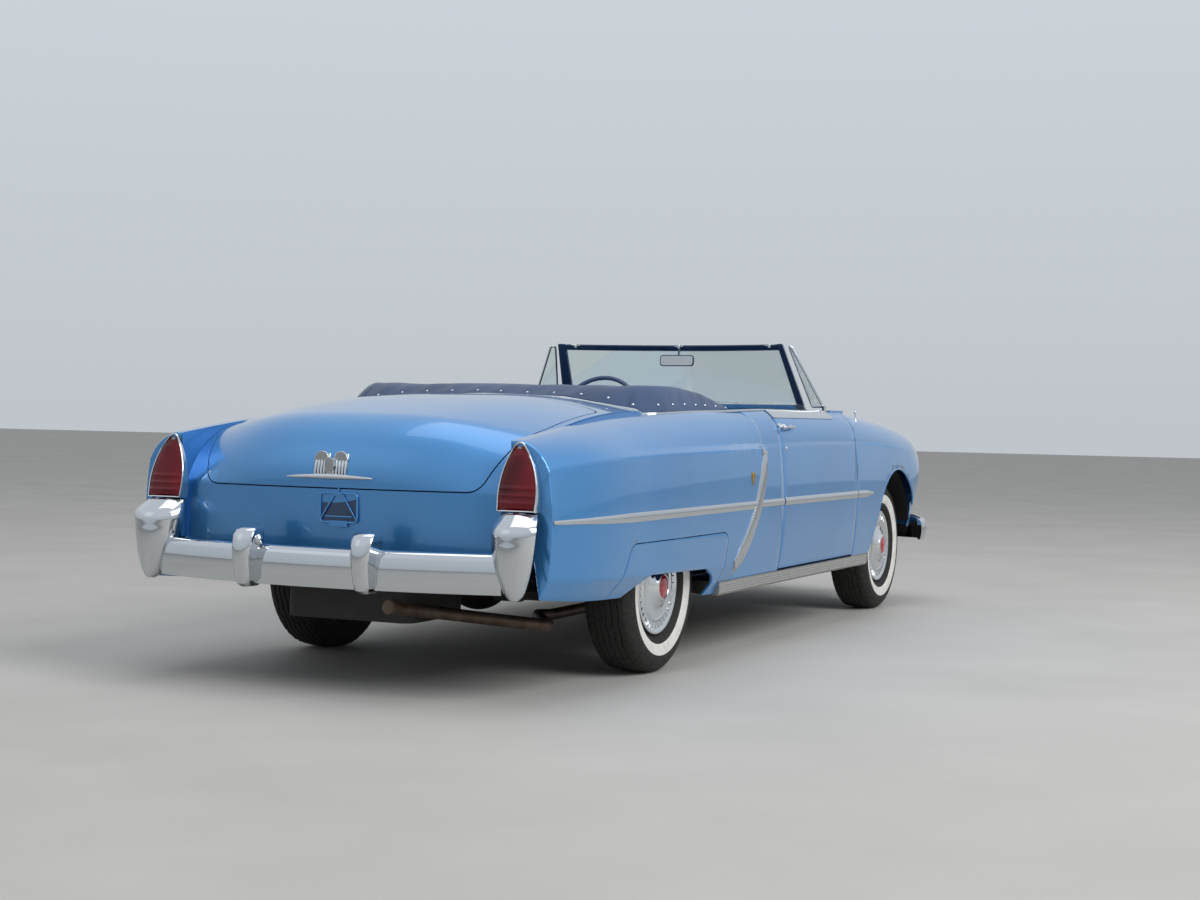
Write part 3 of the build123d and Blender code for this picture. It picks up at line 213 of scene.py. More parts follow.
# planes: which axis a flat outline is pushed along, and where its two numbers go
def lift(axis, pair, height):
    a, b = pair
    return {"x": (height, a, b), "y": (a, height, b), "z": (a, b, height)}[axis]


def prism(name, outline, axis, low, high):
    return lofted(name, [[lift(axis, p, height) for p in outline] for height in (low, high)])


def lofted(name, loops, closed=False):
    # a solid through loops of 3-D points with the same count; closed joins the last loop to the first
    count, turns = len(loops[0]), len(loops)
    faces = [] if closed else [list(range(count))[::-1], list(range((turns - 1) * count, turns * count))]
    for i in range(turns if closed else turns - 1):
        a, b = i * count, ((i + 1) % turns) * count
        for k in range(count):
            j = (k + 1) % count
            faces.append([a + k, a + j, b + j, b + k])
    return meshObject(name, [p for loop in loops for p in loop], faces)


def rounded(outline, radii, steps=6):
    # a closed outline with its corners rounded, one radius each
    made = []
    count = len(outline)
    for i, corner in enumerate(outline):
        radius = radii[i] if hasattr(radii, "__len__") else radii
        here = Vector(corner)
        before = (Vector(outline[i - 1]) - here)
        after = (Vector(outline[(i + 1) % count]) - here)
        if radius <= 0:
            made.append(tuple(here))
            continue
        half = before.angle(after) / 2
        reach = min(radius / max(math.tan(half), 1e-3), 0.49 * before.length, 0.49 * after.length)
        start = here + before.normalized() * reach
        end = here + after.normalized() * reach
        for k in range(steps + 1):
            t = k / steps
            made.append(tuple(start * (1 - t) ** 2 + here * 2 * t * (1 - t) + end * t ** 2))
    return made


def arcThrough(a, b, c, shares):
    # points of the circle through a, b and c at the given shares of its sweep
    ax, ay, bx, by, cx, cy = *a, *b, *c
    d = 2 * (ax * (by - cy) + bx * (cy - ay) + cx * (ay - by))
    if abs(d) < 1e-6:
        return [(ax + (cx - ax) * t, ay + (cy - ay) * t) for t in shares]
    sa, sb, sc = ax * ax + ay * ay, bx * bx + by * by, cx * cx + cy * cy
    ux = (sa * (by - cy) + sb * (cy - ay) + sc * (ay - by)) / d
    uy = (sa * (cx - bx) + sb * (ax - cx) + sc * (bx - ax)) / d
    radius = math.hypot(ax - ux, ay - uy)
    start = math.atan2(ay - uy, ax - ux)
    middle = (math.atan2(by - uy, bx - ux) - start) % (2 * math.pi)
    sweep = (math.atan2(cy - uy, cx - ux) - start) % (2 * math.pi)
    if middle > sweep:
        sweep -= 2 * math.pi
    return [(ux + radius * math.cos(start + sweep * t), uy + radius * math.sin(start + sweep * t))
            for t in shares]


def tableAt(rows, at):
    # smooth values between the rows of a table whose first column is the place
    table = np.array(rows, float)
    places, values = table[:, 0], table[:, 1:]
    steps = np.diff(places)[:, None]
    slopes = np.diff(values, axis=0) / steps
    tangents = np.vstack([slopes[:1], (slopes[:-1] * steps[1:] + slopes[1:] * steps[:-1])
                          / (steps[1:] + steps[:-1]), slopes[-1:]])
    i = int(np.clip(np.searchsorted(places, at) - 1, 0, len(places) - 2))
    width = places[i + 1] - places[i]
    t = (at - places[i]) / width
    return ((2 * t ** 3 - 3 * t ** 2 + 1) * values[i] + (t ** 3 - 2 * t ** 2 + t) * width * tangents[i]
            + (3 * t ** 2 - 2 * t ** 3) * values[i + 1] + (t ** 3 - t ** 2) * width * tangents[i + 1])


def spread(low, high, step):
    return list(np.linspace(low, high, max(2, int(abs(high - low) / step) + 2)))


def shell(name, grid, thickness):
    # a closed sheet of even thickness from a grid of outer points
    outer = np.array(grid, float)
    du = np.gradient(outer, axis=0)
    dv = np.gradient(outer, axis=1)
    normal = np.cross(du, dv)
    normal /= np.maximum(np.linalg.norm(normal, axis=2, keepdims=True), 1e-9)
    inner = outer - normal * thickness
    rows, columns = outer.shape[:2]
    count = rows * columns
    points = [tuple(p) for p in outer.reshape(-1, 3)] + [tuple(p) for p in inner.reshape(-1, 3)]
    faces = []
    for i in range(rows - 1):
        for j in range(columns - 1):
            a, b = i * columns + j, (i + 1) * columns + j
            faces.append([a, b, b + 1, a + 1])
            faces.append([count + a, count + a + 1, count + b + 1, count + b])
    edge = [j for j in range(columns)] + [i * columns + columns - 1 for i in range(1, rows)]
    edge += [(rows - 1) * columns + j for j in range(columns - 2, -1, -1)]
    edge += [i * columns for i in range(rows - 2, 0, -1)]
    for k, a in enumerate(edge):
        b = edge[(k + 1) % len(edge)]
        faces.append([a, b, count + b, count + a])
    return meshObject(name, points, faces)


def turned(name, profile, steps=64, axis="x", centre=(0, 0, 0), closed=False):
    # a profile of (along, radius) turned about an axis through the centre
    points, faces = [], []
    count = len(profile)
    for k in range(steps):
        angle = 2 * math.pi * k / steps
        for along, radius in profile:
            u, v = radius * math.cos(angle), radius * math.sin(angle)
            place = {"x": (along, u, v), "y": (u, along, v), "z": (u, v, along)}[axis]
            points.append(tuple(p + c for p, c in zip(place, centre)))
    for k in range(steps):
        for i in range(count if closed else count - 1):
            a, b = k * count + i, k * count + (i + 1) % count
            c, d = ((k + 1) % steps) * count + (i + 1) % count, ((k + 1) % steps) * count + i
            faces.append([a, b, c, d])
    return meshObject(name, points, faces)


def smoothPath(points, step):
    # even points along a smooth line through the given points
    route = [Vector(p) for p in points]
    full = [route[0] * 2 - route[1]] + route + [route[-1] * 2 - route[-2]]
    made = []
    for i in range(1, len(full) - 2):
        a, b, c, d = full[i - 1:i + 3]
        pieces = max(1, int((c - b).length / step))
        for k in range(pieces):
            t = k / pieces
            made.append(0.5 * ((2 * b) + (c - a) * t + (2 * a - 5 * b + 4 * c - d) * t ** 2
                               + (3 * b - 3 * c + d - a) * t ** 3))
    return made + [route[-1]]


def swept(name, path, section, up=(0, 0, 1), ends=True, scales=None):
    # a closed (side, up) section carried along a path of points
    path = [Vector(p) for p in path]
    points, faces = [], []
    count = len(section)
    for i, place in enumerate(path):
        ahead = (path[min(i + 1, len(path) - 1)] - path[max(i - 1, 0)]).normalized()
        top = Vector(up[i]) if hasattr(up[0], "__len__") else Vector(up)
        side = ahead.cross(top).normalized()
        top = side.cross(ahead).normalized()
        grow = scales[i] if scales else 1
        for a, b in section:
            points.append(tuple(place + side * a * grow + top * b * grow))
    for i in range(len(path) - 1):
        for k in range(count):
            a, b = i * count + k, i * count + (k + 1) % count
            faces.append([a, b, b + count, a + count])
    if ends:
        faces.append(list(range(count))[::-1])
        faces.append(list(range((len(path) - 1) * count, len(path) * count)))
    return meshObject(name, points, faces)


def onCircle(radius, angle):
    return radius * math.cos(angle), radius * math.sin(angle)


def circle(radius, steps=12, flat=1.0):
    return [(radius * math.cos(2 * math.pi * k / steps), flat * radius * math.sin(2 * math.pi * k / steps))
            for k in range(steps)]


def rectangle(a, b, c, d):
    # an outline from its low corner (a, b) to its high corner (c, d)
    return [(a, b), (c, b), (c, d), (a, d)]


def evenShares(count):
    return [k / count for k in range(count + 1)]


def lineAt(line, at):
    # a line of pairs read at a place: from the first number to the second
    return float(np.interp(at, [p[0] for p in line], [p[1] for p in line]))


def pair(name, piece):
    # a left piece and its right twin as one
    return join(name, [piece, mirrored(piece, "twin")])


# ---- finishes


def speckled(name, colour, metallic, roughness, size, detail, colours, **more):
    # a finish whose colour wanders between two shades
    material, shader = newMaterial(name, colour, metallic, roughness, **more)
    tint(material, shader, noise(material, size, detail).outputs[0], colours)
    return material


def hazy(name, colour, metallic, roughness, size, detail, span, stretch=(1, 1, 1), **more):
    # a finish whose roughness wanders between two values
    material, shader = newMaterial(name, colour, metallic, roughness, **more)
    roughen(material, shader, noise(material, size, detail, stretch).outputs[0], *span)
    return material


# two-stage metallic lacquer over pressed steel: aluminium flake under a clear coat
paintLook = {"base": "#4C98D8", "dark": "#438DCD", "metallic": 0.55, "roughness": 0.34, "flakeMm": 1.2}
bodyPaint, shader = newMaterial("lacqueredSteelBlue", paintLook["base"], paintLook["metallic"],
                                paintLook["roughness"], Coat_Weight=1.0, Coat_Roughness=0.04)
flakes = noise(bodyPaint, paintLook["flakeMm"], 2.0)
drift = noise(bodyPaint, 700, 2.0)
tint(bodyPaint, shader, drift.outputs[0], (paintLook["dark"], paintLook["base"]))
roughen(bodyPaint, shader, flakes.outputs[0], 0.30, 0.40)
bumpy(bodyPaint, shader, flakes.outputs[0], 0.06, 0.1)

# the same lacquer in a darker blue on the dashboard
dashPaint = speckled("lacqueredSteelNavy", "#2C4668", 0.3, 0.35, 1.5, 3.0, ("#263E5E", "#31507A"),
                     Coat_Weight=0.8, Coat_Roughness=0.06)

# nickel and chrome plate on pressed steel: mirror bright, a trace of orange peel and haze
chrome, shader = newMaterial("chromePlatedSteel", "#CDD1D5", 1.0, 0.05)
haze = noise(chrome, 90, 3.0)
roughen(chrome, shader, haze.outputs[0], 0.03, 0.09)
bumpy(chrome, shader, haze.outputs[0], 0.04, 0.6)

# spun stainless covers: as bright, with fine turning marks
coverSteel = hazy("spunStainless", "#DADDE0", 1.0, 0.12, 3.0, 3.0, (0.08, 0.18), (1, 6, 6))

# anodised and grained aluminium rocker trim, duller than the chrome
sillSteel = hazy("anodisedAluminiumRibbed", "#B7B4AE", 1.0, 0.28, 2.0, 2.0, (0.22, 0.38), (1, 0.05, 1))

# red enamel in the cover centres and the gilt of the small shield
redEnamel = speckled("vitreousEnamelRed", "#B01226", 0.0, 0.15, 8, 2.0, ("#A00E20", "#BC1A30"),
                     Coat_Weight=1.0)
gilt = speckled("giltBrass", "#C9A24A", 1.0, 0.25, 4, 2.0, ("#B78E38", "#D2AE5C"))

# laminated plate glass with a light green tint
glass = hazy("laminatedGlassGreen", "#CFE6DC", 0.0, 0.02, 160, 3.0, (0.01, 0.04),
             Transmission_Weight=1.0, IOR=1.5, Alpha=0.45)

# moulded acrylic tail lens, dark ruby where it lies deep
redLens = speckled("mouldedAcrylicRuby", "#6E0A18", 0.0, 0.12, 120, 1.0, ("#5A0814", "#820E20"),
                   IOR=1.49, Specular_IOR_Level=0.35)

# pressed lamp glass with fine upright flutes
lampGlass, shader = newMaterial("pressedGlassFluted", "#E4E8EA", 0.35, 0.08, Coat_Weight=1.0, IOR=1.52)
wave = addNode(lampGlass, "ShaderNodeTexWave", {"Scale": 1 / (14 * mm) / 6.3, "Distortion": 0.3},
               {"Vector": coords(lampGlass)}, {"bands_direction": "X"})
bumpy(lampGlass, shader, wave.outputs[0], 0.5, 1.0)
# the flutes are painted lighter on one part of each wave and darker on the other: painted highlight and
# shade on the flutes
tint(lampGlass, shader, wave.outputs[0], ("#C9CFD3", "#F2F5F6"))

# cured tyre rubber, brownish black and dull, with road dust in the grooves
tyreRubber, shader = newMaterial("vulcanisedRubberBlack", "#1B1A19", 0.0, 0.75)
dust = noise(tyreRubber, 22, 5.0)
tint(tyreRubber, shader, dust.outputs[0], ("#161514", "#2A2724"))
grit = noise(tyreRubber, 2.5, 3.0)
bumpy(tyreRubber, shader, grit.outputs[0], 0.25, 0.4)
whiteRubber, shader = newMaterial("vulcanisedRubberWhite", "#E9E8E2", 0.0, 0.6)
dust = noise(whiteRubber, 40, 4.0)
tint(whiteRubber, shader, dust.outputs[0], ("#D9D7CF", "#F1F0EB"), (0.25, 0.5))


# coated vinyl trim, embossed like leather
def vinylFinish(name, dark, light, grainMm, rough):
    material, shader = newMaterial(name, light, 0.0, rough, Sheen_Weight=0.15)
    cells = addNode(material, "ShaderNodeTexVoronoi", {"Scale": 1 / (grainMm * mm)},
                    {"Vector": coords(material)})
    wear = noise(material, 120, 4.0)
    tint(material, shader, wear.outputs[0], (dark, light))
    roughen(material, shader, wear.outputs[0], rough - 0.08, rough + 0.1)
    bumpy(material, shader, cells.outputs[0], 0.35, 0.35)
    return material


seatVinyl = vinylFinish("embossedVinylBlue", "#3D5F8E", "#5179AC", 2.0, 0.45)
seatPale = vinylFinish("embossedVinylPale", "#A9BCD0", "#C3D2E0", 2.0, 0.45)

# boot over the folded top: rubber-backed cloth with a fine twill of about 1.5 mm, drawn at 3 mm
bootCloth, shader = newMaterial("coatedTwillNavy", "#3E5578", 0.0, 0.62, Sheen_Weight=0.25)
twill = addNode(bootCloth, "ShaderNodeTexWave", {"Scale": 1 / (3 * mm) / 6.3, "Distortion": 0.4},
                {"Vector": coords(bootCloth)}, {"bands_direction": "DIAGONAL"})
fade = noise(bootCloth, 260, 4.0)
tint(bootCloth, shader, fade.outputs[0], ("#2C4468", "#3A557E"))
bumpy(bootCloth, shader, twill.outputs[0], 0.25, 0.3)

# hard rubber of the steering wheel, and the knitted loop carpet on the floor
wheelPlastic = speckled("hardRubberBlue", "#34527C", 0.0, 0.25, 12, 3.0, ("#2C4770", "#3C5C88"),
                        Coat_Weight=0.5)
carpet, shader = newMaterial("loopCarpetBlue", "#2A3C58", 0.0, 0.95, Sheen_Weight=0.4)
loops = addNode(carpet, "ShaderNodeTexVoronoi", {"Scale": 1 / (6 * mm)}, {"Vector": coords(carpet)})
# each loop painted lighter at its middle and darker towards its edge: painted shade between the loops
tint(carpet, shader, loops.outputs[0], ("#324A6C", "#1C2A42"), (0.0, 0.6))
bumpy(carpet, shader, loops.outputs[0], 0.8, 2.0)


# under the body: brushed chassis paint, cast iron, and steel browned by heat and road dirt
def underFinish(name, dark, light, metallic, rough, grainMm):
    material, shader = newMaterial(name, light, metallic, rough)
    grime = noise(material, 110, 6.0)
    grit = noise(material, grainMm, 4.0)
    tint(material, shader, grime.outputs[0], (dark, light), (0.35, 0.65))
    roughen(material, shader, grime.outputs[0], rough - 0.12, rough + 0.15)
    bumpy(material, shader, grit.outputs[0], 0.3, 0.8)
    return material


chassisBlack = underFinish("brushedChassisPaint", "#1A1918", "#2B2825", 0.1, 0.6, 6.0)
castIron = underFinish("sandCastIron", "#272524", "#3B3733", 0.6, 0.6, 4.0)
radiatorBlack = underFinish("stoveEnamelBlack", "#121212", "#1E1E1E", 0.2, 0.5, 3.0)
exhaustSteel = underFinish("weatheredMildSteel", "#4B3A2E", "#6E6158", 0.8, 0.5, 5.0)
blackPaint = underFinish("wellUndercoat", "#0E0E0E", "#191817", 0.0, 0.9, 8.0)
print("finishes made")

# ---- floor, light and the photograph's camera

stage = {"floorColour": "#D3D2CE", "floorHalf": 60.0, "evenColour": "#F1F2F4", "ambient": 0.36,
         "horizon": "#BFC5CB", "zenith": "#DCE2EA", "keyPower": 1250, "keySize": 9.0,
         "keyPlace": (-13, 4, 10), "fillPower": 30, "fillPlace": (8, 12, 9), "topPower": 230,
         "topPlace": (0, 0, 11), "softSize": 8.0}
floorMesh = bpy.data.meshes.new("floor")
half = stage["floorHalf"]
floorMesh.from_pydata([(x, y, 0) for x, y in rectangle(-half, -half, half, half)], [], [(0, 1, 2, 3)])
floor = addObject("floor", floorMesh)
floorPaint, shader = newMaterial("polishedConcretePale", stage["floorColour"], 0.0, 0.7)
mottle = noise(floorPaint, 900, 5.0)
tint(floorPaint, shader, mottle.outputs[0], ("#CFCECA", "#D9D8D4"))
floor.data.materials.append(floorPaint)
floor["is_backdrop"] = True

# the world lights evenly, and what sees it directly sees a pale sweep instead
world = bpy.data.worlds.new("studio")
bpy.context.scene.world = world
world.use_nodes = True
even = world.node_tree.nodes["Background"]
even.inputs["Color"].default_value = hexColour(stage["evenColour"])
even.inputs["Strength"].default_value = stage["ambient"]
heights = addNode(world, "ShaderNodeSeparateXYZ",
                  links={"Vector": addNode(world, "ShaderNodeTexCoord").outputs["Generated"]})
sweep = addNode(world, "ShaderNodeValToRGB", links={"Fac": heights.outputs["Z"]})
sweep.color_ramp.elements[0].color = hexColour(stage["horizon"])
sweep.color_ramp.elements[1].color = hexColour(stage["zenith"])
sweep.color_ramp.elements[1].position = 0.5
pale = addNode(world, "ShaderNodeBackground", {"Strength": 1.0}, {"Color": sweep.outputs[0]})
paths = addNode(world, "ShaderNodeLightPath").outputs
seen = paths["Is Camera Ray"]
for ray in ("Is Glossy Ray", "Is Transmission Ray"):
    either = addNode(world, "ShaderNodeMath", links={0: seen, 1: paths[ray]},
                     settings={"operation": "MAXIMUM"})
    seen = either.outputs[0]
mixed = addNode(world, "ShaderNodeMixShader", links={0: seen, 1: even.outputs[0], 2: pale.outputs[0]})
link(world, mixed.outputs[0], world.node_tree.nodes["World Output"].inputs["Surface"])


def addLight(name, power, size, place, aim):
    lamp = bpy.data.lights.new(name, "AREA")
    lamp.energy = power
    lamp.size = size
    lamp.shape = "SQUARE"
    holder = addObject(name, lamp)
    holder.location = place
    holder.rotation_euler = (Vector(aim) - Vector(place)).to_track_quat("-Z", "Y").to_euler()


addLight("keyLight", stage["keyPower"], stage["keySize"], stage["keyPlace"], (0, 0, 0.6))
addLight("fillLight", stage["fillPower"], stage["softSize"], stage["fillPlace"], (0, 1, 0.6))
addLight("topLight", stage["topPower"], stage["softSize"], stage["topPlace"], (0, 0, 0))

camera = {"place": (-3.849, 8.361, 1.040), "yaw": 0.4381, "roll": 0.0185, "lens": 55.89,
          "shift": -0.0269}
ahead = Vector((math.sin(camera["yaw"]), -math.cos(camera["yaw"]), 0))
right = ahead.cross(Vector((0, 0, 1))).normalized()
up = Vector((0, 0, 1))
tiltRight = right * math.cos(camera["roll"]) + up * math.sin(camera["roll"])
tiltUp = up * math.cos(camera["roll"]) - right * math.sin(camera["roll"])
lens = bpy.data.cameras.new("photoCamera")
lens.lens = camera["lens"]
lens.sensor_width = 36
lens.shift_y = camera["shift"]
lens.clip_end = 200
photoCamera = addObject("photoCamera", lens)
turn = Matrix((tiltRight, tiltUp, -ahead)).transposed().to_4x4()
photoCamera.matrix_world = Matrix.Translation(camera["place"]) @ turn
bpy.context.scene.camera = photoCamera
bpy.context.scene.view_settings.view_transform = "Standard"
print("camera and lights set")

# ---- body panels: the same section tables as the solids

bodyHalf = 984
sideRows = {
    # y, then foot, lower crease, fullest place, shoulder edge, shelf, bend and belt:
    # each measured in from the widest place, with its height
    "front": [
        (-2480, 146, 628, 138, 640, 112, 740, 122, 835, 123, 840, 146, 896, 214, 936),
        (-2300, 98, 590, 92, 600, 64, 730, 80, 846, 81, 850, 112, 924, 199, 972),
        (-1900, 59, 345, 58, 352, 36, 660, 53, 897, 55, 903, 90, 973, 184, 1026),
        (-1400, 54, 345, 53, 352, 30, 655, 47, 926, 49, 932, 82, 1016, 172, 1060),
        (-983, 54, 345, 53, 352, 27, 650, 44, 934, 46, 940, 78, 1038, 138, 1090),
    ],
    "door": [
        (-983, 54, 345, 53, 352, 27, 650, 44, 934, 46, 940, 78, 1038, 138, 1090),
        (-400, 54, 345, 53, 352, 25, 650, 42, 936, 44, 942, 76, 1040, 134, 1090),
        (156, 54, 345, 53, 352, 26, 650, 43, 930, 45, 936, 76, 1034, 134, 1090),
        (860, 58, 345, 56, 352, 29, 645, 46, 920, 48, 926, 82, 1018, 146, 1070),
    ],
    "quarter": [
        (430, 79, 284, 27, 402, 5, 650, 9, 916, 40, 938, 76, 1030, 142, 1082),
        (1100, 79, 300, 22, 420, 1, 650, 8, 908, 34, 934, 84, 1012, 166, 1066),
        (1700, 80, 345, 24, 434, 3, 650, 13, 898, 36, 922, 98, 984, 206, 1034),
        (2200, 100, 364, 46, 444, 28, 650, 42, 880, 58, 900, 120, 950, 214, 984),
        (2446, 134, 385, 99, 452, 86, 650, 105, 852, 113, 866, 145, 912, 214, 952),
    ],
}
frontRows, doorRows, quarterRows = (sideRows[part] for part in ("front", "door", "quarter"))
fine = [0, 0.03, 0.08, 0.16, 0.26, 0.38, 0.5, 0.62, 0.74, 0.84, 0.92, 0.97]


def sideSection(row, innerX=None):
    places = [(bodyHalf - row[i], row[i + 1]) for i in range(0, 14, 2)]
    foot, crease, full, edge, shelf, bend, top = places
    section = [tuple(Vector(foot).lerp(Vector(crease), t)) for t in (0, 0.33, 0.67, 0.92)]
    section += arcThrough(crease, full, edge, fine)
    section += [tuple(Vector(edge).lerp(Vector(shelf), t)) for t in (0, 0.3, 0.65)]
    section += arcThrough(shelf, bend, top, fine + [1.0])
    if innerX is not None:
        section += [(top[0] + (innerX - top[0]) * t, top[1]) for t in (0.1, 0.4, 0.7, 1.0)]
    return section


def sidePanel(name, rows, start, end, thickness, innerX, step=30, centre=(0, 0), rings=()):
    # a sheet of the body side, closed at its end by rings that shrink to the centre
    grid = [[(x, y, z) for x, z in sideSection(tableAt(rows, y), innerX)] for y in spread(start, end, step)]
    last = sideSection(tableAt(rows, end), innerX)
    cx, cz = centre
    for shrink, y in rings:
        grid.append([(cx + (x - cx) * shrink, y, cz + (z - cz) * shrink) for x, z in last])
    return shell(name, grid, thickness)


def sideX(rows, y, z):
    # how far out the body side stands at a place
    return lineAt([(up, out) for out, up in sideSection(tableAt(rows, y))], z)


def beltTop(rows, y):
    # how high the flat top of the body side is: the last number of a row
    return tableAt(rows, y)[-1]


def sideStrip(name, rows, path, height, proud):
    # a bright strip that follows the body side along a line of (y, z) places
    route = [Vector((0, y, z)) for y, z in path]
    sink = -3.0   # millimetres that its back edges go into the side
    profile = ((-0.5, sink), (-0.5, 0.3), (-0.35, 0.8), (0, 1.0), (0.35, 0.8), (0.5, 0.3), (0.5, sink))
    loops = []
    for i, place in enumerate(route):
        ahead = (route[min(i + 1, len(route) - 1)] - route[max(i - 1, 0)]).normalized()
        across = Vector((0, -ahead.z, ahead.y))
        wide = height[i] if hasattr(height, "__len__") else height
        loop = []
        for share, out in profile:
            at = place + across * wide * share
            stand = proud * out if out > 0 else out
            loop.append((sideX(rows, at.y, at.z) + stand, at.y, at.z))
        loops.append(loop)
    return lofted(name, loops)


def bothSides(piece, base, material, slotName, body="root", nodes=()):
    # dresses the left piece, and makes and dresses its right twin
    twin = mirrored(piece, base + "Right")
    piece.name = base + "Left"
    for one, side in ((piece, "left"), (twin, "right")):
        dress(one, material, body.format(side), slotName, *[n.format(side) for n in nodes])


# doors: full-thickness slabs with a rolled edge all round
doorLook = {"front": -983, "rear": 156, "low": 353, "top": 1088, "innerX": 832, "outerX": 958,
            "slant": 16}
low, top, innerX, outerX = (doorLook[key] for key in ("low", "top", "innerX", "outerX"))
loops = []
for y in spread(doorLook["front"], doorLook["rear"], 40):
    section = [(x, max(z, low)) for x, z in sideSection(tableAt(doorRows, y))][4:]
    section = [p for p in section if p[1] < top - 3]
    section += [(section[-1][0] - 5, top), (innerX, top), (innerX, low)]
    # the rear edge runs forward towards the inside
    slant = doorLook["slant"] if y == doorLook["rear"] else 0
    loops.append([(x, y - slant * max(0, (outerX - x) / (outerX - innerX)), z) for x, z in section])
door = soften(lofted("door", loops), 2.0)
bothSides(door, "doorSkin", bodyPaint, "body_paint", "door_{}", ("door_{}",))

# front fenders: open arch with a rolled lip, rounded nose about the lamp
fenderLook = {"rear": -988.5, "front": -2480, "inner": 603, "wall": 8.0, "arch": 430, "lampX": 742,
              "lampZ": 836}
hubY, rearHubY, hubZ = -1784, 1340, 355
arch, inner = fenderLook["arch"], fenderLook["inner"]


def hubArc(y, radius, start, end, count):
    # points on a circle about a wheel's hub, between two angles in degrees
    return [(y + radius * math.cos(a), hubZ + radius * math.sin(a))
            for a in np.radians(np.linspace(start, end, count))]


def archCutter(y, radius, low, high, steps=64):
    return turned("cut", [(low, 0), (low, radius), (high, radius), (high, 0)], steps, "x", (0, y, hubZ))


fender = sidePanel("fender", frontRows, fenderLook["rear"], fenderLook["front"], -fenderLook["wall"], inner)
carve(fender, archCutter(hubY, arch, 400, 1100, 96), solver="FAST")
lowCut = [(hubY - 900, -10), (hubY + arch + 110, -10), (hubY + arch + 90, 345),
          (hubY + arch * 0.94, hubZ + 180), (hubY, hubZ + 200), (hubY - arch * 0.86, hubZ + 215),
          (hubY - 900, hubZ + 285)]
carve(fender, prism("cut", lowCut, "x", 400, 1100), solver="FAST")
carve(fender, prism("cut", rectangle(500, -1129.5, 823.5, -900), "z", 300, 1300), solver="FAST")
bothSides(soften(fender, 2.0), "fenderSkin", bodyPaint, "body_paint", "root", ("front_fender_{}",))

# the fender's closed front end, rounded about the lamp
lampX, lampZ = fenderLook["lampX"], fenderLook["lampZ"]
loops = []
for y in (-2432, -2456, -2479):
    section = sideSection(tableAt(frontRows, y), inner)
    foot = section[0][1]
    section += [(inner, 860), (inner, 760), (inner, 660), (640, foot + 4), (760, foot + 1)]
    loops.append([(x - (1 if x > 610 else 0), y, z - 1) for x, z in section])
last = loops[-1]
for shrink, ahead in ((0.99, 5), (0.97, 11), (0.93, 16), (0.86, 18.6), (0.6, 19)):
    loops.append([(lampX + (x - lampX) * shrink, fenderLook["front"] - ahead, lampZ + (z - lampZ) * shrink)
                  for x, y, z in last])
bothSides(smooth(lofted("fenderNose", loops), 70), "fenderNose", bodyPaint, "body_paint")

# turned lip: up the fender's rear edge, then round the arch to its cut-off front
archLine = [(hubY + arch + 90 - 116 * t, 348 + 187 * t) for t in np.linspace(0, 1, 7)]
archLine += hubArc(hubY, arch, 27, 149.5, 40)
archPath = [(sideX(frontRows, y, z) - 4, y, z) for y, z in archLine]
archLip = smooth(swept("archLip", archPath, circle(6, 8), (1, 0, 0)))
bothSides(archLip, "archLip", bodyPaint, "body_paint")

# wheelhouses: pressed steel arches over the wheels, undercoated black
wellLook = {"frontRadius": 436, "rearRadius": 446, "wall": 5, "low": 480, "plateRadius": 442}


def wheelhouse(name, y, radius, innerX, outerX):
    rings = []
    for reach in (radius + wellLook["wall"], radius):
        begin = math.degrees(math.asin((wellLook["low"] - hubZ) / reach))
        rings.append(hubArc(y, reach, begin, 180 - begin, 33))
    return prism(name, rings[0] + rings[1][::-1], "x", innerX, outerX)


frontWell = wheelhouse("frontWell", hubY, wellLook["frontRadius"], 604, 890)
bothSides(smooth(frontWell), "frontWell", blackPaint, "chassis_black")
reach, low = wellLook["plateRadius"], wellLook["low"]
bayPlate = [(-1136, 520)] + [(y, beltTop(frontRows, y) - 1) for y in spread(-1136, -2440, 40)]
bayPlate += [(-2440, 640), (hubY - reach, low)]
bayPlate += [(y, z) for y, z in hubArc(hubY, reach, 172, 8, 25) if z > low + 2]
bayPlate += [(hubY + reach, low)]
bothSides(smooth(prism("bayPlate", bayPlate, "x", 602, 608)), "bayPlate", bodyPaint, "body_paint")

# quarter panels: a plain panel behind the door, and the bulge that starts at the scoop
scoopArc = ((430, 905), (505, 690), (748, 403))
skirtOutline = rounded([(928, 250), (905, 560), (1905, 560), (2028, 250)], (0, 60, 60, 0))
skirtGap = rounded([(924, 250), (901, 564), (1908, 564), (2034, 250)], (0, 63, 63, 0))
openingOutline = rounded([(1040, 240), (1040, 284), (975, 350), (1010, 378), (1110, 417), (1685, 430),
                          (1770, 398), (1860, 350), (1860, 240)], (0, 12, 22, 20, 12, 20, 16, 14, 0), 4)
quarterLook = {"front": 400, "rear": 2434, "wall": 10, "inner": 728, "step": 26, "centre": (800, 690),
               "rings": ((0.992, 2441), (0.97, 2445.5), (0.6, 2446), (0.2, 2446))}
wall, inner, step = (quarterLook[key] for key in ("wall", "inner", "step"))

quarter = sidePanel("quarter", quarterRows, quarterLook["front"], quarterLook["rear"], wall, inner, step,
                    quarterLook["centre"], quarterLook["rings"])
ahead = arcThrough(*scoopArc, evenShares(12)) + [(748, 100), (100, 100), (100, 1300), (420, 1300)]
carve(quarter, prism("cut", ahead, "x", 400, 1100))
carve(quarter, prism("cut", rectangle(500, 200, 902, 345), "x", 400, 1100))
soften(quarter, 2.0)
smooth(carve(quarter, prism("cut", skirtGap, "x", 800, 1100)))
basePanel = sidePanel("base", doorRows, 161.5, 880, wall, inner, 40)
carve(basePanel, prism("cut", rectangle(100, 200, 880, 346), "x", 400, 1100))
carve(basePanel, prism("cut", rectangle(472, 880, 900, 1200), "x", 400, 1100))
quarter = join("quarter", [quarter, soften(basePanel, 2.0)])
bothSides(quarter, "quarterSkin", bodyPaint, "body_paint", "root", ("quarter_{}",))
skirt = sidePanel("skirt", quarterRows, 880, 2120, wall, inner, step)
